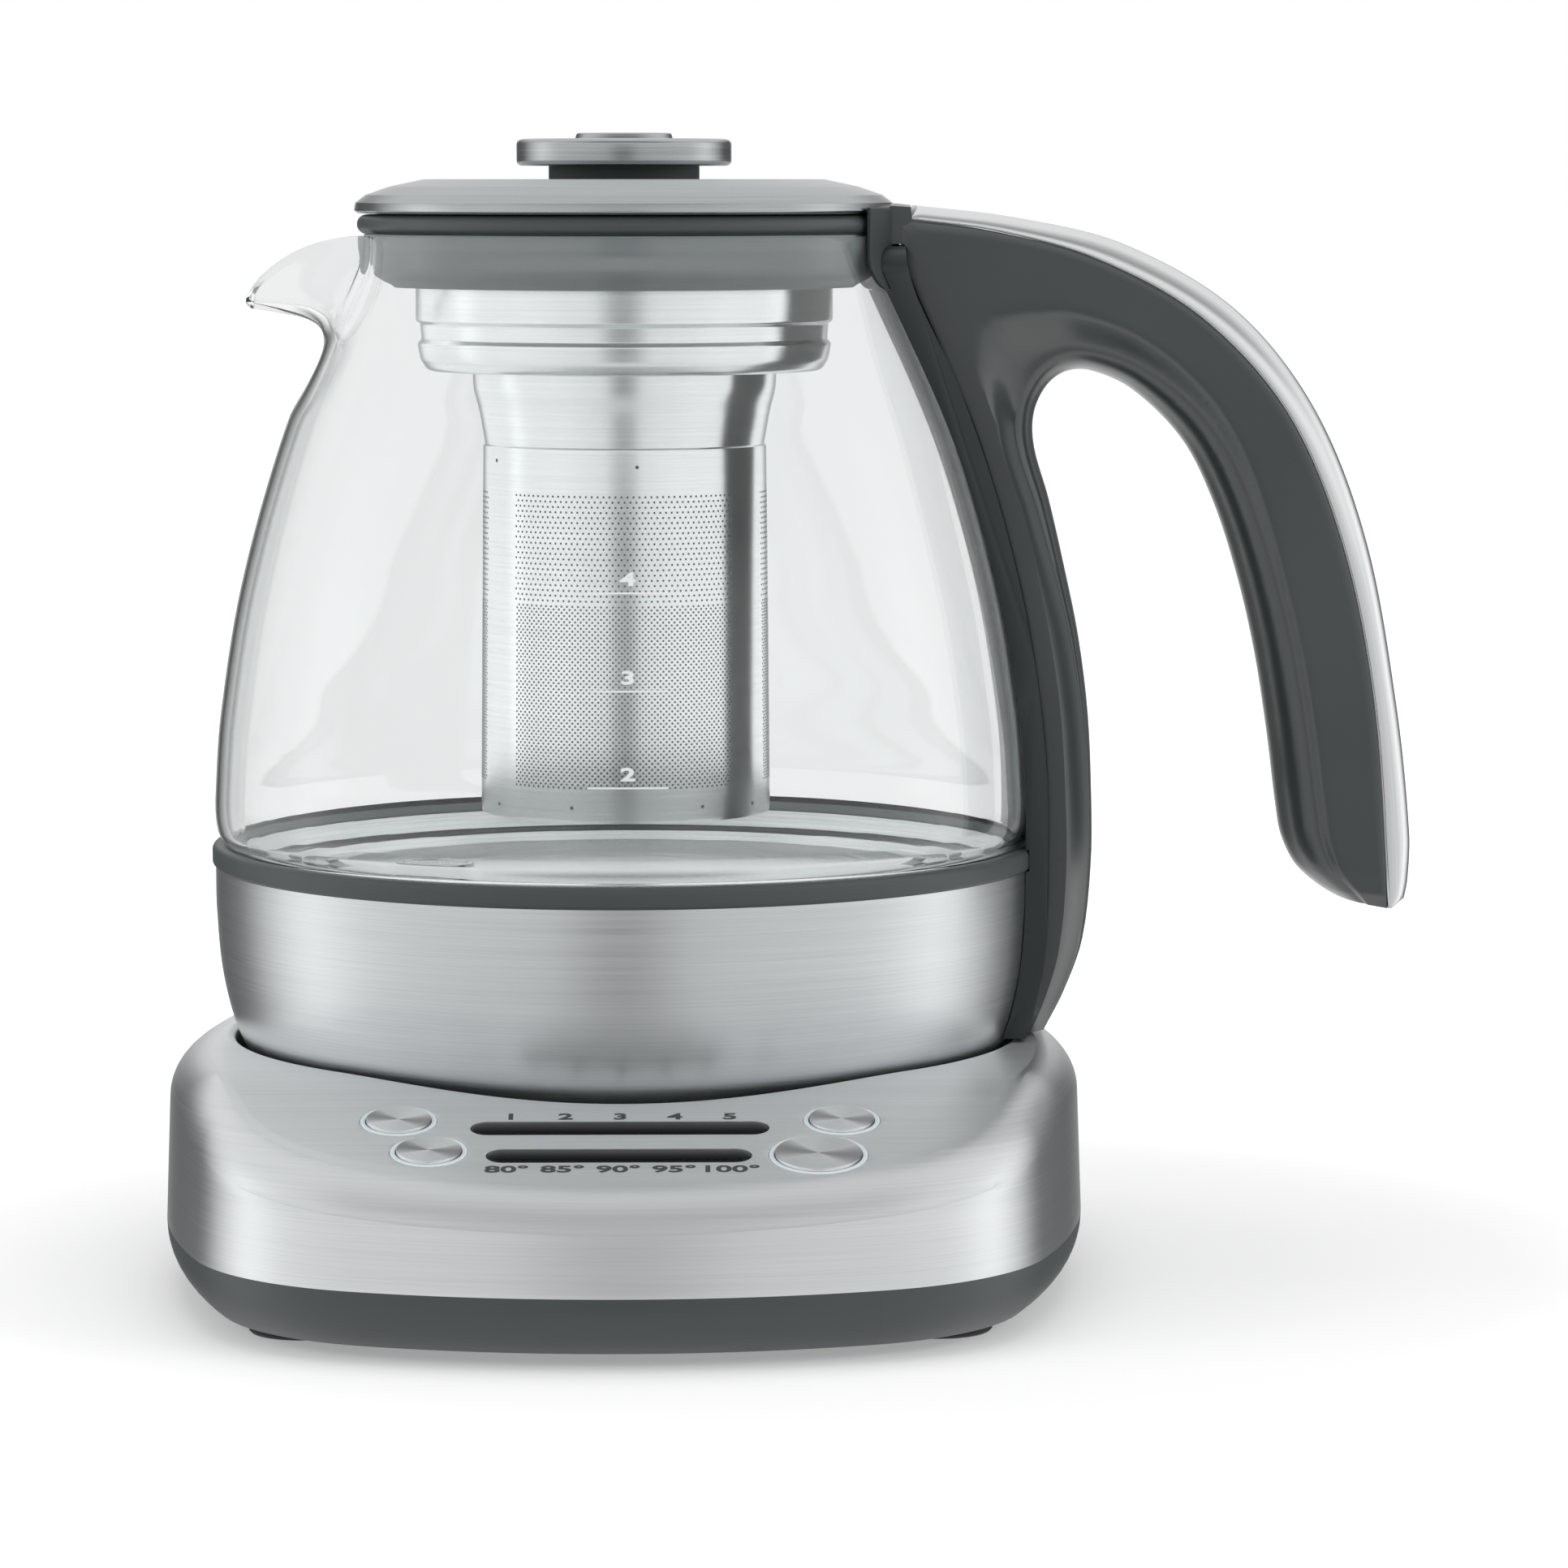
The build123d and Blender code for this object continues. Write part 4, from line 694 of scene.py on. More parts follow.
def shell_rings(plan):
    """Lines of points over the steel shell, one for each point of the plan, from the seam to the
    well."""
    lines = []
    for point, out in plan:
        wall = deck_height((point - out * SHOULDER).y) - SHOULDER - SEAM
        line = []
        for step in range(WALL_STEPS + 1):
            rise = wall * step / WALL_STEPS
            line.append((point - out * rise * tan(SHELL_TAPER), SEAM + rise))
        inset = wall * tan(SHELL_TAPER)
        for step in range(1, SHOULDER_STEPS + 1):
            turn = pi / 2 * step / SHOULDER_STEPS
            place = point - out * (inset + SHOULDER * (1 - cos(turn)))
            line.append((place, deck_height(place.y) - SHOULDER * (1 - sin(turn))))
        edge = line[-1][0]
        aim = (edge - Vector((JUG_X, JUG_Y))).normalized()
        well = Vector((JUG_X, JUG_Y)) + aim * (WELL_RADIUS + WELL_LIP)
        for step in range(1, DECK_STEPS + 1):
            place = edge.lerp(well, step / DECK_STEPS)
            line.append((place, deck_height(place.y)))
        for step in range(1, LIP_STEPS + 1):
            turn = pi / 2 * step / LIP_STEPS
            place = well - aim * WELL_LIP * sin(turn)
            line.append((place, deck_height(well.y) - WELL_LIP * (1 - cos(turn))))
        line.append((line[-1][0], WELL_FLOOR))
        lines.append([Vector((place.x, place.y, height)) for place, height in line])
    return lines


def panel_place(node_name, low, high, across=0.0, up_slope=0.0, proud=0.0):
    """A frame on the control panel at a node that reaches from low to high about its surface."""
    corner_low, corner_high = span(node_name)
    foot = (corner_low + corner_high) / 2 - PANEL_UP * (low + high) / 2
    foot -= PANEL_UP * (foot - Vector((0, BREAK_Y, DECK))).dot(PANEL_UP)
    right = Vector((1, 0, 0))
    slope = PANEL_UP.cross(right)
    turn = Matrix((right, slope, PANEL_UP)).transposed().to_4x4()
    return Matrix.Translation(foot + right * across + slope * up_slope + PANEL_UP * proud) @ turn


def ring_radius(node_name):
    """Outer radius of a button's ring above its flange."""
    low, high = span(node_name)
    return (high.x - low.x) / 2 - RING_FLANGE


def window_length(node_name):
    """Length of a display window above its flange."""
    low, high = span(node_name)
    return high.x - low.x - 2 * WINDOW_FLANGE


def stadium(length, width, steps=16):
    """Outline of a slot with round ends, about its middle."""
    radius = width / 2
    half = length / 2 - radius
    line = []
    for middle, start in ((half, -pi / 2), (-half, pi / 2)):
        for step in range(steps + 1):
            turn = start + pi * step / steps
            line.append((middle + radius * cos(turn), radius * sin(turn)))
    return line


def prism(outline, low, high, place):
    """A closed block over an outline, between two heights in a placed frame."""
    rings = [[place @ Vector((x, y, height)) for x, y in outline] for height in (low, high)]
    return grid(rings, lambda a, b: (b, a * 5), caps=True)


def panel_cutter():
    """All the holes through the control panel as one mesh."""
    blocks = []
    for name in RINGS:
        radius = ring_radius(name) + CUT_GAP
        circle = [(radius * cos(2 * pi * k / 64), radius * sin(2 * pi * k / 64)) for k in range(64)]
        place = panel_place(name, RING_LOW, RING_HIGH)
        blocks.append(prism(circle, -CUT_REACH, CUT_REACH, place))
    for name in WINDOWS:
        slot = stadium(window_length(name) + 2 * CUT_GAP, WINDOW_WIDTH + 2 * CUT_GAP)
        place = panel_place(name, WINDOW_LOW, WINDOW_HIGH)
        blocks.append(prism(slot, -CUT_REACH, CUT_REACH, place))
    return joined(blocks)


def make_base_shell():
    """The brushed steel housing of the base, brushed round its wall and straight over its deck."""
    plan = base_plan()
    lines = shell_rings(plan)
    walked = distances([point for point, out in plan + plan[:1]])

    def brush(a, b):
        point = lines[a % len(lines)][b]
        on_wall = b <= WALL_STEPS + SHOULDER_STEPS
        return (walked[a], point.z) if on_wall else (point.x, point.y)

    shell = finished(grid(lines, brush, wrap_lines=False),
                     ("SOLIDIFY", {"thickness": SHELL_WALL * MM, "offset": -1.0}))
    shell = finished(shell,
                     ("BOOLEAN", {"operation": "DIFFERENCE", "object": panel_cutter(),
                                  "solver": "EXACT"}),
                     ("BEVEL", {"width": 0.25 * MM, "segments": 2, "limit_method": "ANGLE",
                                "angle_limit": radians(50)}))
    make("steel_base_shell", shell, "base", shell_steel, ["base_shell"])


make_base_shell()


# ---------------------------------------------------------------- buttons, rings and windows
def make_button(ring_name):
    """A dished steel button and the milky ring round it."""
    key = ring_name.replace("_ring", "")
    place = panel_place(ring_name, RING_LOW, RING_HIGH)
    outer = ring_radius(ring_name)
    inner = outer - RING_WIDTH
    flange = outer + RING_FLANGE
    ring = [(inner, RING_LOW), (flange, RING_LOW), (flange, FLANGE_TOP), (outer, FLANGE_TOP),
            (outer, RING_TOP, 0.12), (inner, RING_TOP, 0.1)]
    make(f"{key}_light_ring", turned(rounded(ring), place, 96), "base",
         ring_polycarbonate, [ring_name])
    radius = inner - BUTTON_GAP
    cap = [(0, -5.9), (radius + 0.7, -5.9), (radius + 0.7, -4.7), (radius, -4.7),
           (radius, 0.6, 0.2), (radius - 0.4, 0.6, 0.2), (radius * 0.6, 0.5), (radius * 0.3, 0.44),
           (0, 0.42)]
    make(f"{key}_button_cap", turned(rounded(cap), place, 96, BUTTON_TURN), f"{key}_key",
         button_steel, [f"{key}_button"])


def make_window(name, steps=10):
    """A display window: a slot-shaped lens with its top edge well rounded, and its flange."""
    place = panel_place(name, WINDOW_LOW, WINDOW_HIGH)
    length = window_length(name)
    turns = [pi / 2 * step / steps for step in range(steps + 1)]
    levels = [(0.0, WINDOW_LOW)]
    levels += [(WINDOW_EDGE * (1 - cos(turn)), WINDOW_EDGE_RISE * sin(turn) + WINDOW_EDGE_LOW)
               for turn in turns]
    rings = [[place @ Vector((x, y, height)) for x, y in
              stadium(length - 2 * inset, WINDOW_WIDTH - 2 * inset)] for inset, height in levels]
    lens = grid(rings, lambda a, b: (b, a), caps=True)
    wide = stadium(length + 2 * WINDOW_FLANGE, WINDOW_WIDTH + 2 * WINDOW_FLANGE)
    flange = prism(wide, WINDOW_LOW, FLANGE_TOP, place)
    make(f"{name}_lens", joined([lens, flange]), "base", window_acrylic, [name])


for name in RINGS:
    make_button(name)
for name in WINDOWS:
    make_window(name)


# ---------------------------------------------------------------- printed numbers
def words(text, size, stretch):
    """A word as a thin mesh, in millimetres, centred on its own origin."""
    data = bpy.data.curves.new("words", "FONT")
    data.body = text
    data.size = size
    data.align_x = "CENTER"
    data.align_y = "CENTER"
    data.extrude = INK_HALF
    data.offset = INK_BOLD
    data.resolution_u = 4
    mesh = plain(placed("words", data))
    mesh.transform(Matrix.Diagonal((stretch, 1, 1, 1)))
    return mesh


def make_panel_print():
    """Numbers over the upper window and under the lower one."""
    numbers = []
    rows = (("time_window", ("1", "2", "3", "4", "5"), 3.5, 4.9),
            ("heat_window", ("80°", "85°", "90°", "95°", "100°"), 3.7, -5.8))
    for window, texts, size, up_slope in rows:
        for step, text in enumerate(texts):
            place = panel_place(window, WINDOW_LOW, WINDOW_HIGH, (step - 2) * NUMBER_PITCH,
                                up_slope, 0.03)
            mesh = words(text, size, NUMBER_STRETCH)
            mesh.transform(Matrix.Scale(MM, 4) @ place)
            numbers.append(mesh)
    make("printed_panel_numbers", joined(numbers), "base", dark_ink)


make_panel_print()


# ---------------------------------------------------------------- jug
def make_skirt_and_band():
    """The steel skirt round the foot of the jug, and the dark band over it."""
    outer = [(point.x, point.y) for point in spline(SKIRT, 10)]
    inner = [(x - SKIRT_WALL, y) for x, y in outer[::-1]]
    make("steel_jug_skirt", turned(outer + inner, segments=256), "jug",
         skirt_steel, ["steel_skirt"])
    outside = (band_high.x - band_low.x) / 2
    low, high = band_low.z, band_high.z
    band = rounded([(73.0, low), (outside, low, 0.9), (outside, high, 1.1), (73.0, high)])
    make("jug_trim_band", turned(band, segments=256), "jug", trim_plastic,
         ["trim_band"])


def plain_wall():
    """The glass's outside away from the spout, from its foot to its rim."""
    return spline(GLASS_FOOT + GLASS + GLASS_MOUTH)


GLASS_TABLE = [(point.y, point.x) for point in plain_wall()]


def make_glass(body_rows=46, neck_rows=40):
    """The glass jug, whose wall is drawn out into the spout about one side."""
    wall = plain_wall()
    split = next(index for index, point in enumerate(wall) if point.y > SPOUT_START)
    lower, upper = wall[:split + 1], wall[split:]
    spout = spline([wall[split - 2], wall[split], *SPOUT_MIDDLE])[8:]
    reach = SPOUT_STEPS * SPOUT_STEP
    fine = [step * SPOUT_STEP for step in range(-SPOUT_STEPS, SPOUT_STEPS + 1)]
    coarse = [reach + step * (360 - 2 * reach) / PLAIN_STEPS for step in range(1, PLAIN_STEPS)]
    rings = []
    for turn in [radians(180 + turn) for turn in fine + coarse]:
        off = abs(turn - pi)
        off = min(off, 2 * pi - off)
        pull = 0.5 + 0.5 * cos(pi * min(max((off - SPOUT_FLAT) / SPOUT_SPREAD, 0), 1))
        line = [along(lower, row / body_rows) for row in range(body_rows)]
        for row in range(neck_rows + 1):
            share = row / neck_rows
            start, end = along(upper, share), along(spout, share)
            arch = 0.5 * pull**2.2 + 0.5 * (1 - sqrt(max(1 - pull**2, 0)))
            drop = pull + (arch - pull) * share
            line.append(Vector((start.x + (end.x - start.x) * pull,
                                start.y + (end.y - start.y) * drop)))
        rings.append([Vector((JUG_X + p.x * cos(turn), JUG_Y + p.x * sin(turn), p.y))
                      for p in line])
    glass = finished(grid(rings, wrap_lines=False),
                     ("SOLIDIFY", {"thickness": GLASS_WALL * MM, "offset": -1.0,
                                   "use_even_offset": True}),
                     ("BEVEL", {"width": 0.75 * MM, "segments": 4, "limit_method": "ANGLE",
                                "angle_limit": radians(60)}))
    make("glass_jug_body", glass, "jug", jug_glass, ["glass_jug"])


def make_plate():
    """The pressed steel floor of the jug, with its rings, and the sensor's cap in it."""
    top = rounded([(0.01, 69.6), (53.0, 69.6, 0.8), (55.3, 68.4, 1.0), (60.0, 68.4, 1.0),
                   (62.4, 70.2, 1.0), (66.5, 71.0, 2.0), (70.4, 74.0, 1.0), (72.4, 74.0)])
    under = [Vector((point.x, point.y - PLATE_WALL)) for point in top[::-1]]
    make("pressed_heater_plate", turned(top + under), "jug", plate_steel,
         ["heater_plate"])
    low, high = span("sensor_cap")
    place = Matrix.Translation(((low.x + high.x) / 2, (low.y + high.y) / 2, 0))
    cap = rounded([(0, low.z), (5.0, low.z), (5.0, 69.6), (7.2, 69.6), (7.2, 70.3, 0.35),
                   (6.0, 70.4, 0.3), (5.7, 70.05, 0.2), (0, 70.15)])
    make("sensor_button_cap", turned(cap, place, 72), "jug", knob_steel,
         ["sensor_cap"])


make_skirt_and_band()
make_glass()
make_plate()


# ---------------------------------------------------------------- infuser
def make_rim_and_collar():
    """The ring that the infuser hangs by, the tapered seal under it and the steel funnel."""
    low, high = span("infuser_rim")
    radius = (high.x - low.x) / 2
    rim = rounded([(38.0, low.z), (radius, low.z, 1.7), (radius, high.z, 1.7), (39.2, high.z),
                   (39.2, high.z - 1.3), (38.0, high.z - 1.3)])
    make("infuser_rim_ring", turned(rim, segments=256), "infuser", dark_silicone,
         ["infuser_rim"])
    side = spline([(46.8, 183.2), (46.1, 181.2), (45.2, 178.5), (43.9, 177.3), (42.4, 176.6),
                   (41.4, 175.9)], 6)
    seal = [(37.8, 185.7), (46.9, 185.7), *side, (37.8, 175.9)]
    make("infuser_tapered_seal", turned(seal, segments=256), "infuser",
         grey_silicone, ["infuser_seal"])
    outside = rounded([(37.7, 188.6, 0.3), (37.7, 170.0, 0.6), (36.9, 169.4, 0.5),
                       (36.7, 166.8, 0.4), (37.4, 165.9, 0.6), (36.9, 163.0, 3.0),
                       (35.6, 160.9, 1.6), (27.7, 160.9)], 5)[1:]
    inside = [Vector((point.x - 0.6, point.y + 0.1)) for point in outside[:-8]]
    collar = [(39.0, 188.0), (39.0, 188.6), (37.1, 188.6), *inside[2:], (35.2, 161.5),
              (27.7, 161.5), *outside[::-1], (37.7, 188.0)]
    make("infuser_steel_collar", turned(collar, segments=256), "infuser",
         infuser_steel, ["infuser_collar"])


def make_basket():
    """The infuser's neck and its tube, which meet at a lapped seam, and the tube's floor."""
    outer_neck = [(27.5, 160.6), (27.3, 157.6), (26.4, 154.0), (25.7, 150.3), (25.3, 147.9)]
    inner_neck = [(24.8, 148.2), (25.1, 150.6), (25.8, 154.3), (26.7, 157.8), (26.9, 160.6)]
    tube = [(29.5, 161.5), (27.5, 161.5), *spline(outer_neck, 6), (25.6, 147.6), TUBE_HEAD,
            TUBE_FOOT, (26.1, 81.3), (25.6, 81.3), (25.0, 147.4), *spline(inner_neck, 6),
            (27.2, 161.9), (29.5, 162.1)]
    make("infuser_neck_and_tube", turned(tube, segments=256), "infuser",
         infuser_steel, ["infuser_basket"])
    cup = rounded([(0, 81.3), (25.5, 81.3, 1.2), (25.5, 86.3), (24.9, 86.3), (24.9, 81.9, 0.6),
                   (0, 81.9)])
    make("infuser_tube_floor", turned(cup), "infuser", infuser_steel,
         ["basket_cup"])


def perforation_tree():
    """Node tree for a field of staggered dark discs, painted shade for round holes, wrapped round
    the tube's slight taper.
    """
    tree = bpy.data.node_groups.new("perforations", "GeometryNodeTree")
    tree.interface.new_socket("Geometry", in_out="OUTPUT", socket_type="NodeSocketGeometry")
    for name, kind in (("Columns", "Int"), ("Rows", "Int"), ("Pitch", "Float"),
                       ("Row Pitch", "Float"), ("Bottom", "Float"), ("Radius", "Float"),
                       ("Taper", "Float"), ("Turn", "Float"), ("Hole Radius", "Float"),
                       ("Facing", "Float"), ("Material", "Material")):
        tree.interface.new_socket(name, in_out="INPUT", socket_type=f"NodeSocket{kind}")
    given = add(tree, "NodeGroupInput").outputs
    values = {socket.name: socket for socket in given if socket.name}
    values["index"] = add(tree, "GeometryNodeInputIndex")
    # Each hole's row and column, then its place along the arc, up the tube and out from its axis
    for name, operation, *terms in (
            ("count", "MULTIPLY", "Columns", "Rows"),
            ("index in its middle", "ADD", "index", 0.5),
            ("rows gone", "DIVIDE", "index in its middle", "Columns"),
            ("row", "FLOOR", "rows gone"),
            ("holes before the row", "MULTIPLY", "row", "Columns"),
            ("column", "SUBTRACT", "index", "holes before the row"),
            ("width", "SUBTRACT", "Columns", 0.5),
            ("middle", "MULTIPLY", "width", 0.5),
            ("odd row", "MODULO", "row", 2.0),
            ("stagger", "MULTIPLY", "odd row", 0.5),
            ("staggered column", "ADD", "column", "stagger"),
            ("off middle", "SUBTRACT", "staggered column", "middle"),
            ("arc", "MULTIPLY", "off middle", "Pitch"),
            ("arc turn", "DIVIDE", "arc", "Radius"),
            ("turn", "ADD", "arc turn", "Turn"),
            ("rise", "MULTIPLY", "row", "Row Pitch"),
            ("narrowing", "MULTIPLY", "rise", "Taper"),
            ("reach", "SUBTRACT", "Radius", "narrowing"),
            ("cosine", "COSINE", "turn"),
            ("sine", "SINE", "turn"),
            ("x", "MULTIPLY", "reach", "cosine"),
            ("y", "MULTIPLY", "reach", "sine"),
            ("z", "ADD", "rise", "Bottom")):
        inputs = {place: values.get(term, term) for place, term in enumerate(terms)}
        values[name] = add(tree, "Math", inputs, operation=operation)
    points = add(tree, "GeometryNodeMeshLine", {"Count": values["count"], "Offset": (0, 0, 0)})
    place = add(tree, "CombineXYZ", {0: values["x"], 1: values["y"], 2: values["z"]})
    spread = add(tree, "GeometryNodeSetPosition", {"Geometry": points, "Position": place})
    hole = add(tree, "GeometryNodeMeshCircle", {"Vertices": 6, "Radius": given["Hole Radius"]},
               fill_type="NGON")
    facing = add(tree, "CombineXYZ", {1: given["Facing"], 2: values["turn"]})
    holes = add(tree, "GeometryNodeInstanceOnPoints", {"Points": spread, "Instance": hole,
                                                       "Rotation": facing})
    real = add(tree, "GeometryNodeRealizeInstances", {"Geometry": holes})
    finish = add(tree, "GeometryNodeSetMaterial", {"Geometry": real, "Material": given["Material"]})
    add(tree, "NodeGroupOutput", {0: finish})
    return tree


def grown(tree, **inputs):
    """The mesh that a geometry tree makes with the inputs given, as a plain mesh."""
    holder = placed("holder", bpy.data.meshes.new("seed"))
    modifier = holder.modifiers.new("nodes", "NODES")
    modifier.node_group = tree
    for item in tree.interface.items_tree:
        key = item.name.replace(" ", "_").lower()
        if item.in_out == "INPUT" and key in inputs:
            modifier[item.identifier] = inputs[key]
    return plain(holder)


def make_perforations():
    """Three panels of dark discs round the tube, painted shade for its holes, each in two fields,
    on its outer and its inner face, and the dots of its spot welds."""
    tree = perforation_tree()
    taper = (TUBE_FOOT[0] - TUBE_HEAD[0]) / (TUBE_HEAD[1] - TUBE_FOOT[1])
    body = bmesh.new()
    for low, high, rise in HOLE_FIELDS:
        radius = TUBE_FOOT[0] - taper * (low - TUBE_FOOT[1])
        for skin, facing in ((0.03, radians(90)), (-0.66, radians(-90))):
            for panel in range(3):
                body.from_mesh(grown(
                    tree, columns=int(FIELD_TURN * radius / HOLE_PITCH), pitch=HOLE_PITCH * MM,
                    rows=round((high - low) / rise) + 1, row_pitch=rise * MM, bottom=low * MM,
                    radius=(radius + skin) * MM, taper=taper, hole_radius=HOLE_RADIUS * MM,
                    turn=radians(-90 + 120 * panel), facing=facing, material=hole_shade_and_weld_dark))
    for across, height, radius in WELDS:
        turn = asin(across / radius)
        face = Matrix.Translation((across * MM, -radius * cos(turn) * MM, height * MM))
        face = face @ Matrix.Rotation(turn, 4, "Z") @ Matrix.Rotation(pi / 2, 4, "X")
        bmesh.ops.create_circle(body, cap_ends=True, radius=WELD_RADIUS * MM, segments=12,
                                matrix=face)
    mesh = bpy.data.meshes.new("perforations")
    body.to_mesh(mesh)
    body.free()
    mesh.transform(Matrix.Translation((JUG_X * MM, JUG_Y * MM, 0)))
    make("infuser_tube_perforations", mesh, "infuser", hole_shade_and_weld_dark)


make_rim_and_collar()
make_basket()
make_perforations()


# ---------------------------------------------------------------- lid
def make_lid():
    """The lid's shallow steel cover, the dark stem on it and the turned knob."""
    under = [(0, 194.7), (35.8, 194.7), (45.6, 191.9), (46.9, 190.2), (46.9, 189.5)]
    top = rounded([(46.9, 189.5), (48.0, 189.4, 0.3), (48.7, 189.9, 0.35), (48.45, 191.3, 0.3),
                   (46.6, 192.7, 0.6), (42.3, 194.2, 8.0), (36.1, 195.5, 0.9), (0, 195.5)])[1:]
    make("brushed_lid_cover", turned(under + top, segments=256), "lid",
         lid_steel_with_painted_shade, ["lid_cover"])
    low, high = span("knob_stem")
    stem = [(1.7, low.z), (13.6, low.z), (13.6, high.z), (1.7, high.z)]
    make("knob_stem_collar", turned(stem), "lid", inner_plastic, ["knob_stem"])
    knob = rounded([(0, 197.9), (19.4, 197.9, 1.0), (19.4, 202.6, 1.0), (17.6, 202.75, 0.6),
                    (8.9, 202.6, 0.2), (8.5, 203.79, 0.45), (0, 203.79)])
    make("turned_lid_knob", turned(knob), "lid", knob_steel, ["lid_knob"])


make_lid()

# ---------------------------------------------------------------- handle
# Ribs across the grip: a point on its outer edge, one on the edge round the finger opening, and
# the section there: reach of the shaped part, reach of the bead, half width at the bead, sharpness
# of the line where the flat side starts, and half width of the side.
RIBS = [
    ((72.1, 41.6), (76.4, 41.6), 3.0, 0.6, 9.0, 1.0, 12.2),
    ((73.2, 45.2), (78.6, 45.6), 3.8, 0.8, 9.2, 1.0, 13.2),
    ((75.4, 57.0), (83.4, 58.0), 5.0, 1.0, 8.6, 1.0, 13.4),
    ((76.1, 84.0), (84.9, 84.0), 5.4, 1.2, 8.2, 1.0, 13.4),
    ((72.9, 114.0), (82.4, 113.0), 5.8, 1.9, 8.2, 1.0, 13.4),
    ((67.0, 137.0), (76.9, 138.0), 5.6, 2.8, 8.2, 0.9, 13.4),
    ((61.5, 152.0), (74.1, 150.5), 7.2, 3.6, 8.0, 0.8, 13.4),
    ((56.4, 166.3), (74.6, 155.0), 13.0, 4.0, 8.2, 0.3, 13.4),
    ((50.4, 183.6), (75.6, 157.2), 17.0, 4.0, 8.6, 0.0, 13.4),
    ((49.6, 184.4), (75.9, 157.6), 17.0, 4.0, 8.6, 0.0, 13.4),
    ((49.6, 187.4), (76.3, 158.2), 17.0, 4.0, 8.7, 0.0, 13.4),
    ((51.4, 188.2), (76.8, 158.8), 17.0, 4.0, 8.8, 0.0, 13.4),
    ((67.0, 186.1), (80.0, 160.9), 13.0, 4.0, 9.2, 0.0, 13.4),
    ((84.6, 181.2), (88.0, 159.9), 11.0, 4.2, 9.8, 0.0, 13.4),
    ((103.3, 170.9), (97.0, 153.3), 9.5, 4.8, 11.0, 0.0, 13.4),
    ((118.9, 153.9), (105.2, 141.0), 8.6, 5.5, 12.0, 0.0, 13.4),
    ((129.1, 130.1), (112.8, 118.0), 8.2, 6.0, 12.5, 0.0, 13.4),
    ((135.1, 100.8), (117.0, 95.2), 8.0, 6.0, 12.6, 0.0, 13.4),
    ((137.2, 80.0), (119.3, 79.0), 8.0, 6.0, 12.6, 0.0, 13.4),
    ((137.9, 70.6), (122.0, 71.8), 7.6, 6.0, 12.6, 0.0, 13.4),
    ((138.0, 66.6), (126.4, 67.2), 6.8, 5.6, 12.0, 0.0, 13.0),
    ((138.0, 65.2), (129.0, 65.6), 5.6, 5.0, 10.8, 0.0, 12.0),
    ((138.0, 64.5), (131.0, 65.0), 4.6, 4.0, 8.8, 0.0, 10.0),
]
STEPS_A_RIB = 8
STRIP_STEPS = 180


def seam_line():
    """Where the grip meets the spine: the jug's outline, stood off by the spine."""
    stand = SPINE_STAND + 0.1
    points = [(radius + stand, height) for radius, height in SKIRT[2:] + GLASS]
    return spline(points + [(GLASS_MOUTH[0][0] + stand, SPINE_HEAD)], 10)


def rib_section(length, shaped, bead, bead_half, sharp, half):
    """Half widths across a rib, as (distance from the finger opening, half width)."""
    shaped = min(shaped, length * 0.9)
    bead = min(bead, shaped * 0.96)
    line = []
    for step in range(11):
        turn = pi / 2 * step / 10
        line.append((bead * (1 - cos(turn)), bead_half * sin(turn)))
    for step in range(1, 13):
        x = step / 12
        rise = sharp * (1.35 * x - 0.35 * x * x) + (1 - sharp) * (3 * x * x - 2 * x**3)
        line.append((bead + (shaped - bead) * x, bead_half + (half - bead_half) * rise))
    edge = min(0.45, (length - shaped) * 0.5)
    for step in range(1, 9):
        line.append((shaped + (length - edge - shaped) * step / 8, half))
    for step in range(1, 5):
        turn = pi / 2 * step / 4
        line.append((length - edge * (1 - sin(turn)), half - edge * (1 - cos(turn))))
    return line


def ring_about(near, way, section):
    """A ring across the handle: its section's (distance, half width) rows, laid out from a point
    along a way, down one side and back up the other. A first row without width is shared."""
    rows = [(distance, -half) for distance, half in section]
    rows += [(distance, half) for distance, half in section[::-1]]
    if section[0][1] == 0:
        rows.pop()
    points = [(near + way * distance, across) for distance, across in rows]
    return [Vector((JUG_X + point.x, JUG_Y + across, point.y)) for point, across in points]


def head_block():
    """The top corner of the grip, in front of the steel strip: hollowed to the lid's edge."""
    rings = []
    for step in range(21):
        half = HEAD_HALF * (2 * step / 20 - 1)
        edge = max(abs(half) - HEAD_HALF + 0.55, 0)
        drop = HEAD_EDGE - sqrt(HEAD_EDGE**2 - edge**2)
        front = sqrt(HEAD_RADIUS**2 - half**2)
        outline = rounded([(front, 184.0), (front, HEAD_TOP - drop, 0.5),
                           (51.35, HEAD_TOP - 0.3 - drop), (51.6, 184.0)], 4)
        rings.append([Vector((JUG_X + point.x, JUG_Y + half, point.y)) for point in outline])
    return grid(rings, caps=True)


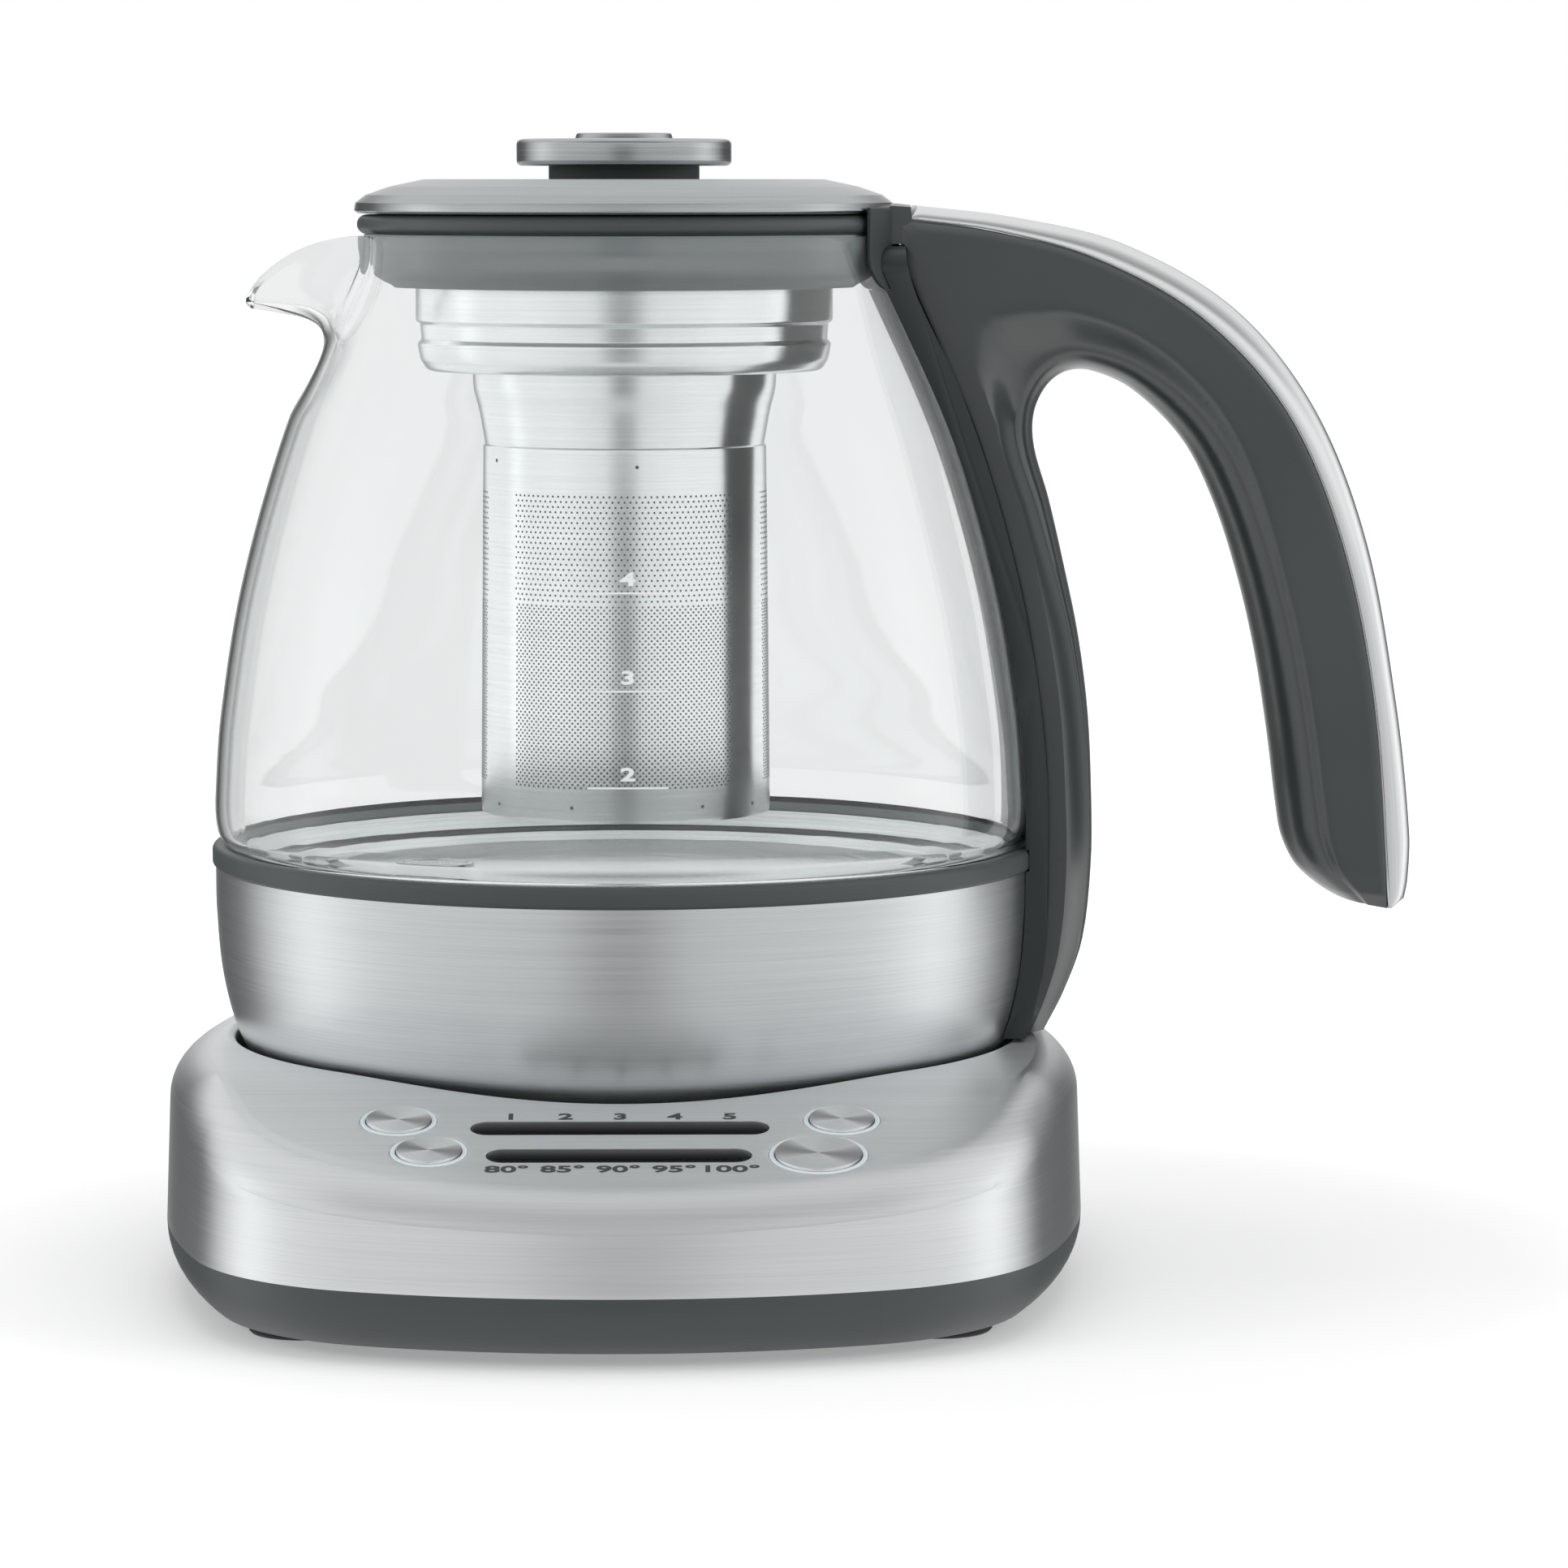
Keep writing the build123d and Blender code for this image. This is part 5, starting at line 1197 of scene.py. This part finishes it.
def make_grip():
    """The loop handle: ribs round the finger opening, with a bead along the opening's edge."""
    outer = seam_line() + [Vector((49.6, 184.4)), Vector((49.6, 187.4))]
    outer += [p - Vector((STRIP_STEP, STRIP_STEP)) for p in spline(STRIP_INNER, 16)]
    inner = spline(GRIP_INSIDE, 16)
    marks = [index / (len(RIBS) - 1) for index in range(len(RIBS))]
    outer_marks = list(zip(marks, [share_of(outer, rib[0]) for rib in RIBS]))
    inner_marks = list(zip(marks, [share_of(inner, rib[1]) for rib in RIBS]))
    tables = [list(zip(marks, [rib[column] for rib in RIBS])) for column in range(2, 7)]
    rings = []
    count = (len(RIBS) - 1) * STEPS_A_RIB
    for step in range(count + 1):
        t = step / count
        far = along(outer, between(t, outer_marks))
        near = along(inner, between(t, inner_marks))
        section = rib_section((far - near).length, *[between(t, table) for table in tables])
        rings.append(ring_about(near, (far - near).normalized(), section))
    make("satin_handle_grip", joined([grid(rings, caps=True), head_block()]), "jug",
         handle_plastic, ["handle_grip"], sharp=24)


def make_strip():
    """The steel strip along the back of the handle, with its edges rolled over."""
    outer = spline(STRIP_OUTER, 16)
    inner = spline(STRIP_INNER, 16)
    rings = []
    for step in range(STRIP_STEPS + 1):
        t = step / STRIP_STEPS
        near = along(inner, t)
        across = along(outer, t) - near
        end = min(1.0, t * 300 + 0.4, (1 - t) * 300 + 0.4)
        section = [(0.0, 12.75), (0.26, 12.85)]
        for turn in [pi / 2 * k / 10 for k in range(11)]:
            section.append((0.32 + (across.length - 0.32) * sin(turn) * end,
                            STRIP_HALF - STRIP_ROLL * (1 - cos(turn))))
        rings.append(ring_about(near, across.normalized(), section))
    mesh = grid(rings, lambda a, b: (a / STRIP_STEPS * 200, b * 1.5), caps=True)
    make("brushed_handle_strip", mesh, "jug", strip_steel, ["handle_strip"],
         sharp=40)


def merged(name):
    """A copy of a CAD node's mesh, merged, with its flat faces whole."""
    mesh = nodes[name].data.copy()
    body = bmesh.new()
    body.from_mesh(mesh)
    bmesh.ops.remove_doubles(body, verts=body.verts, dist=1e-6)
    bmesh.ops.dissolve_limit(body, angle_limit=radians(1), verts=body.verts, edges=body.edges)
    body.to_mesh(mesh)
    body.free()
    return mesh


def make_spine():
    """The saddle that the handle stands on: the CAD piece with its upper corners rounded."""
    outline = rounded([(SPINE_HALF, SPINE_FOOT), (SPINE_HALF, SPINE_HEAD, 4.5),
                       (-SPINE_HALF, SPINE_HEAD, 4.5), (-SPINE_HALF, SPINE_FOOT)])
    sides = [[(JUG_X + reach, JUG_Y + point.x, point.y) for point in outline] for reach in (0, 100)]
    spine = finished(merged("handle_spine"),
                     ("BOOLEAN", {"operation": "INTERSECT", "object": grid(sides, caps=True)}),
                     ("BEVEL", {"width": 0.4 * MM, "segments": 3, "limit_method": "ANGLE",
                                "angle_limit": radians(40), "use_clamp_overlap": True}))
    make("saddle_handle_spine", spine, "jug", spine_plastic, ["handle_spine"],
         sharp=30)


def make_rim_clip(count=24):
    """The clamp round the glass's neck: a curved plate with its edges and its lower corners
    rounded."""
    half_turn = radians(28)
    bottom, top, corner, edge, gap, proud = 176.0, 190.5, 4.0, 0.35, 0.12, 0.85
    rings = []
    for step in range(-count, count + 1):
        turn = half_turn * sin(pi / 2 * step / count)
        inset = (half_turn - abs(turn)) * GLASS_MOUTH[0][0]
        low = bottom + corner - sqrt(corner**2 - max(corner - inset, 0)**2)
        outside, inside = [], []
        for row in range(count + 1):
            height = low + (top - low) * (0.5 - 0.5 * cos(pi * row / count))
            near = max(min(inset, height - low, top - height, edge), 0)
            radius = between(height, GLASS_TABLE)
            outside.append((radius + proud - edge + sqrt(edge**2 - (edge - near)**2), height))
            inside.append((radius + gap, height))
        rings.append([(JUG_X + r * cos(turn), JUG_Y + r * sin(turn), z)
                      for r, z in outside + inside[::-1]])
    make("moulded_rim_clip", grid(rings, caps=True), "jug", inner_plastic,
         ["rim_clip"], sharp=40)


make_grip()
make_strip()
make_spine()
make_rim_clip()

# ---------------------------------------------------------------- glass scale
LEVELS = (("4", 125.5), ("3", 109.0), ("2", 92.7))
LEVEL_HALF = 6.95
LEVEL_THIN = 0.16
LEVEL_ACROSS = 1.4  # how far the marks stand from the middle, towards the handle
LEVEL_CELLS = 24
LEVEL_NUMBER = 3.1
LEVEL_STRETCH = 1.65
NUMBER_RISE = 2.2
ENAMEL_PROUD = 0.04


def make_scale():
    """Level lines and their numbers, fired on the outside of the glass at the front."""
    marks = []
    for text, height in LEVELS:
        line = bpy.data.meshes.new("line")
        line.from_pydata([(LEVEL_HALF * (2 * k / LEVEL_CELLS - 1), side * LEVEL_THIN, 0)
                          for k in range(LEVEL_CELLS + 1) for side in (-1, 1)], [],
                         [(2 * k, 2 * k + 2, 2 * k + 3, 2 * k + 1) for k in range(LEVEL_CELLS)])
        number = words(text, LEVEL_NUMBER, LEVEL_STRETCH)
        for mesh, level in ((number, height + NUMBER_RISE), (line, height)):
            for vertex in mesh.vertices:
                rise = level + vertex.co.y
                radius = between(rise, GLASS_TABLE) + ENAMEL_PROUD + max(vertex.co.z, 0)
                turn = -pi / 2 + (vertex.co.x + LEVEL_ACROSS) / radius
                vertex.co = Vector((JUG_X + radius * cos(turn), JUG_Y + radius * sin(turn),
                                    rise)) * MM
            marks.append(mesh)
    make("enamel_level_scale", joined(marks), "jug", white_enamel)


make_scale()

# ---------------------------------------------------------------- pieces kept from the CAD
FINISHES = {
    casing_plastic: ["base_casing"],
    inner_plastic: ["well_tray", "socket_post", "plug_housing", "jug_floor", "control_frame"],
    dark_silicone: ["lid_liner"],
    grey_silicone: ["glass_seal"],
    foot_rubber: ["rubber_feet", "cord_gland"],
    chip_lens: ["time_lights", "heat_lights"],
    board_lacquer: ["control_board", "power_board"],
    part_resin: ["key_switches", "relay", "buzzer", "thermal_cutout"],
    core_iron: ["transformer"],
    cast_aluminium: ["heat_spreader"],
    element_sheath: ["heating_element"],
    contact_brass: ["socket_contacts", "plug_contacts"],
    screw_zinc: ["tray_screws", "board_screws", "floor_screws", "handle_screws", "knob_screw"],
}
for finish, names in FINISHES.items():
    for name in names:
        nodes[name].data.materials.clear()
        nodes[name].data.materials.append(finish)
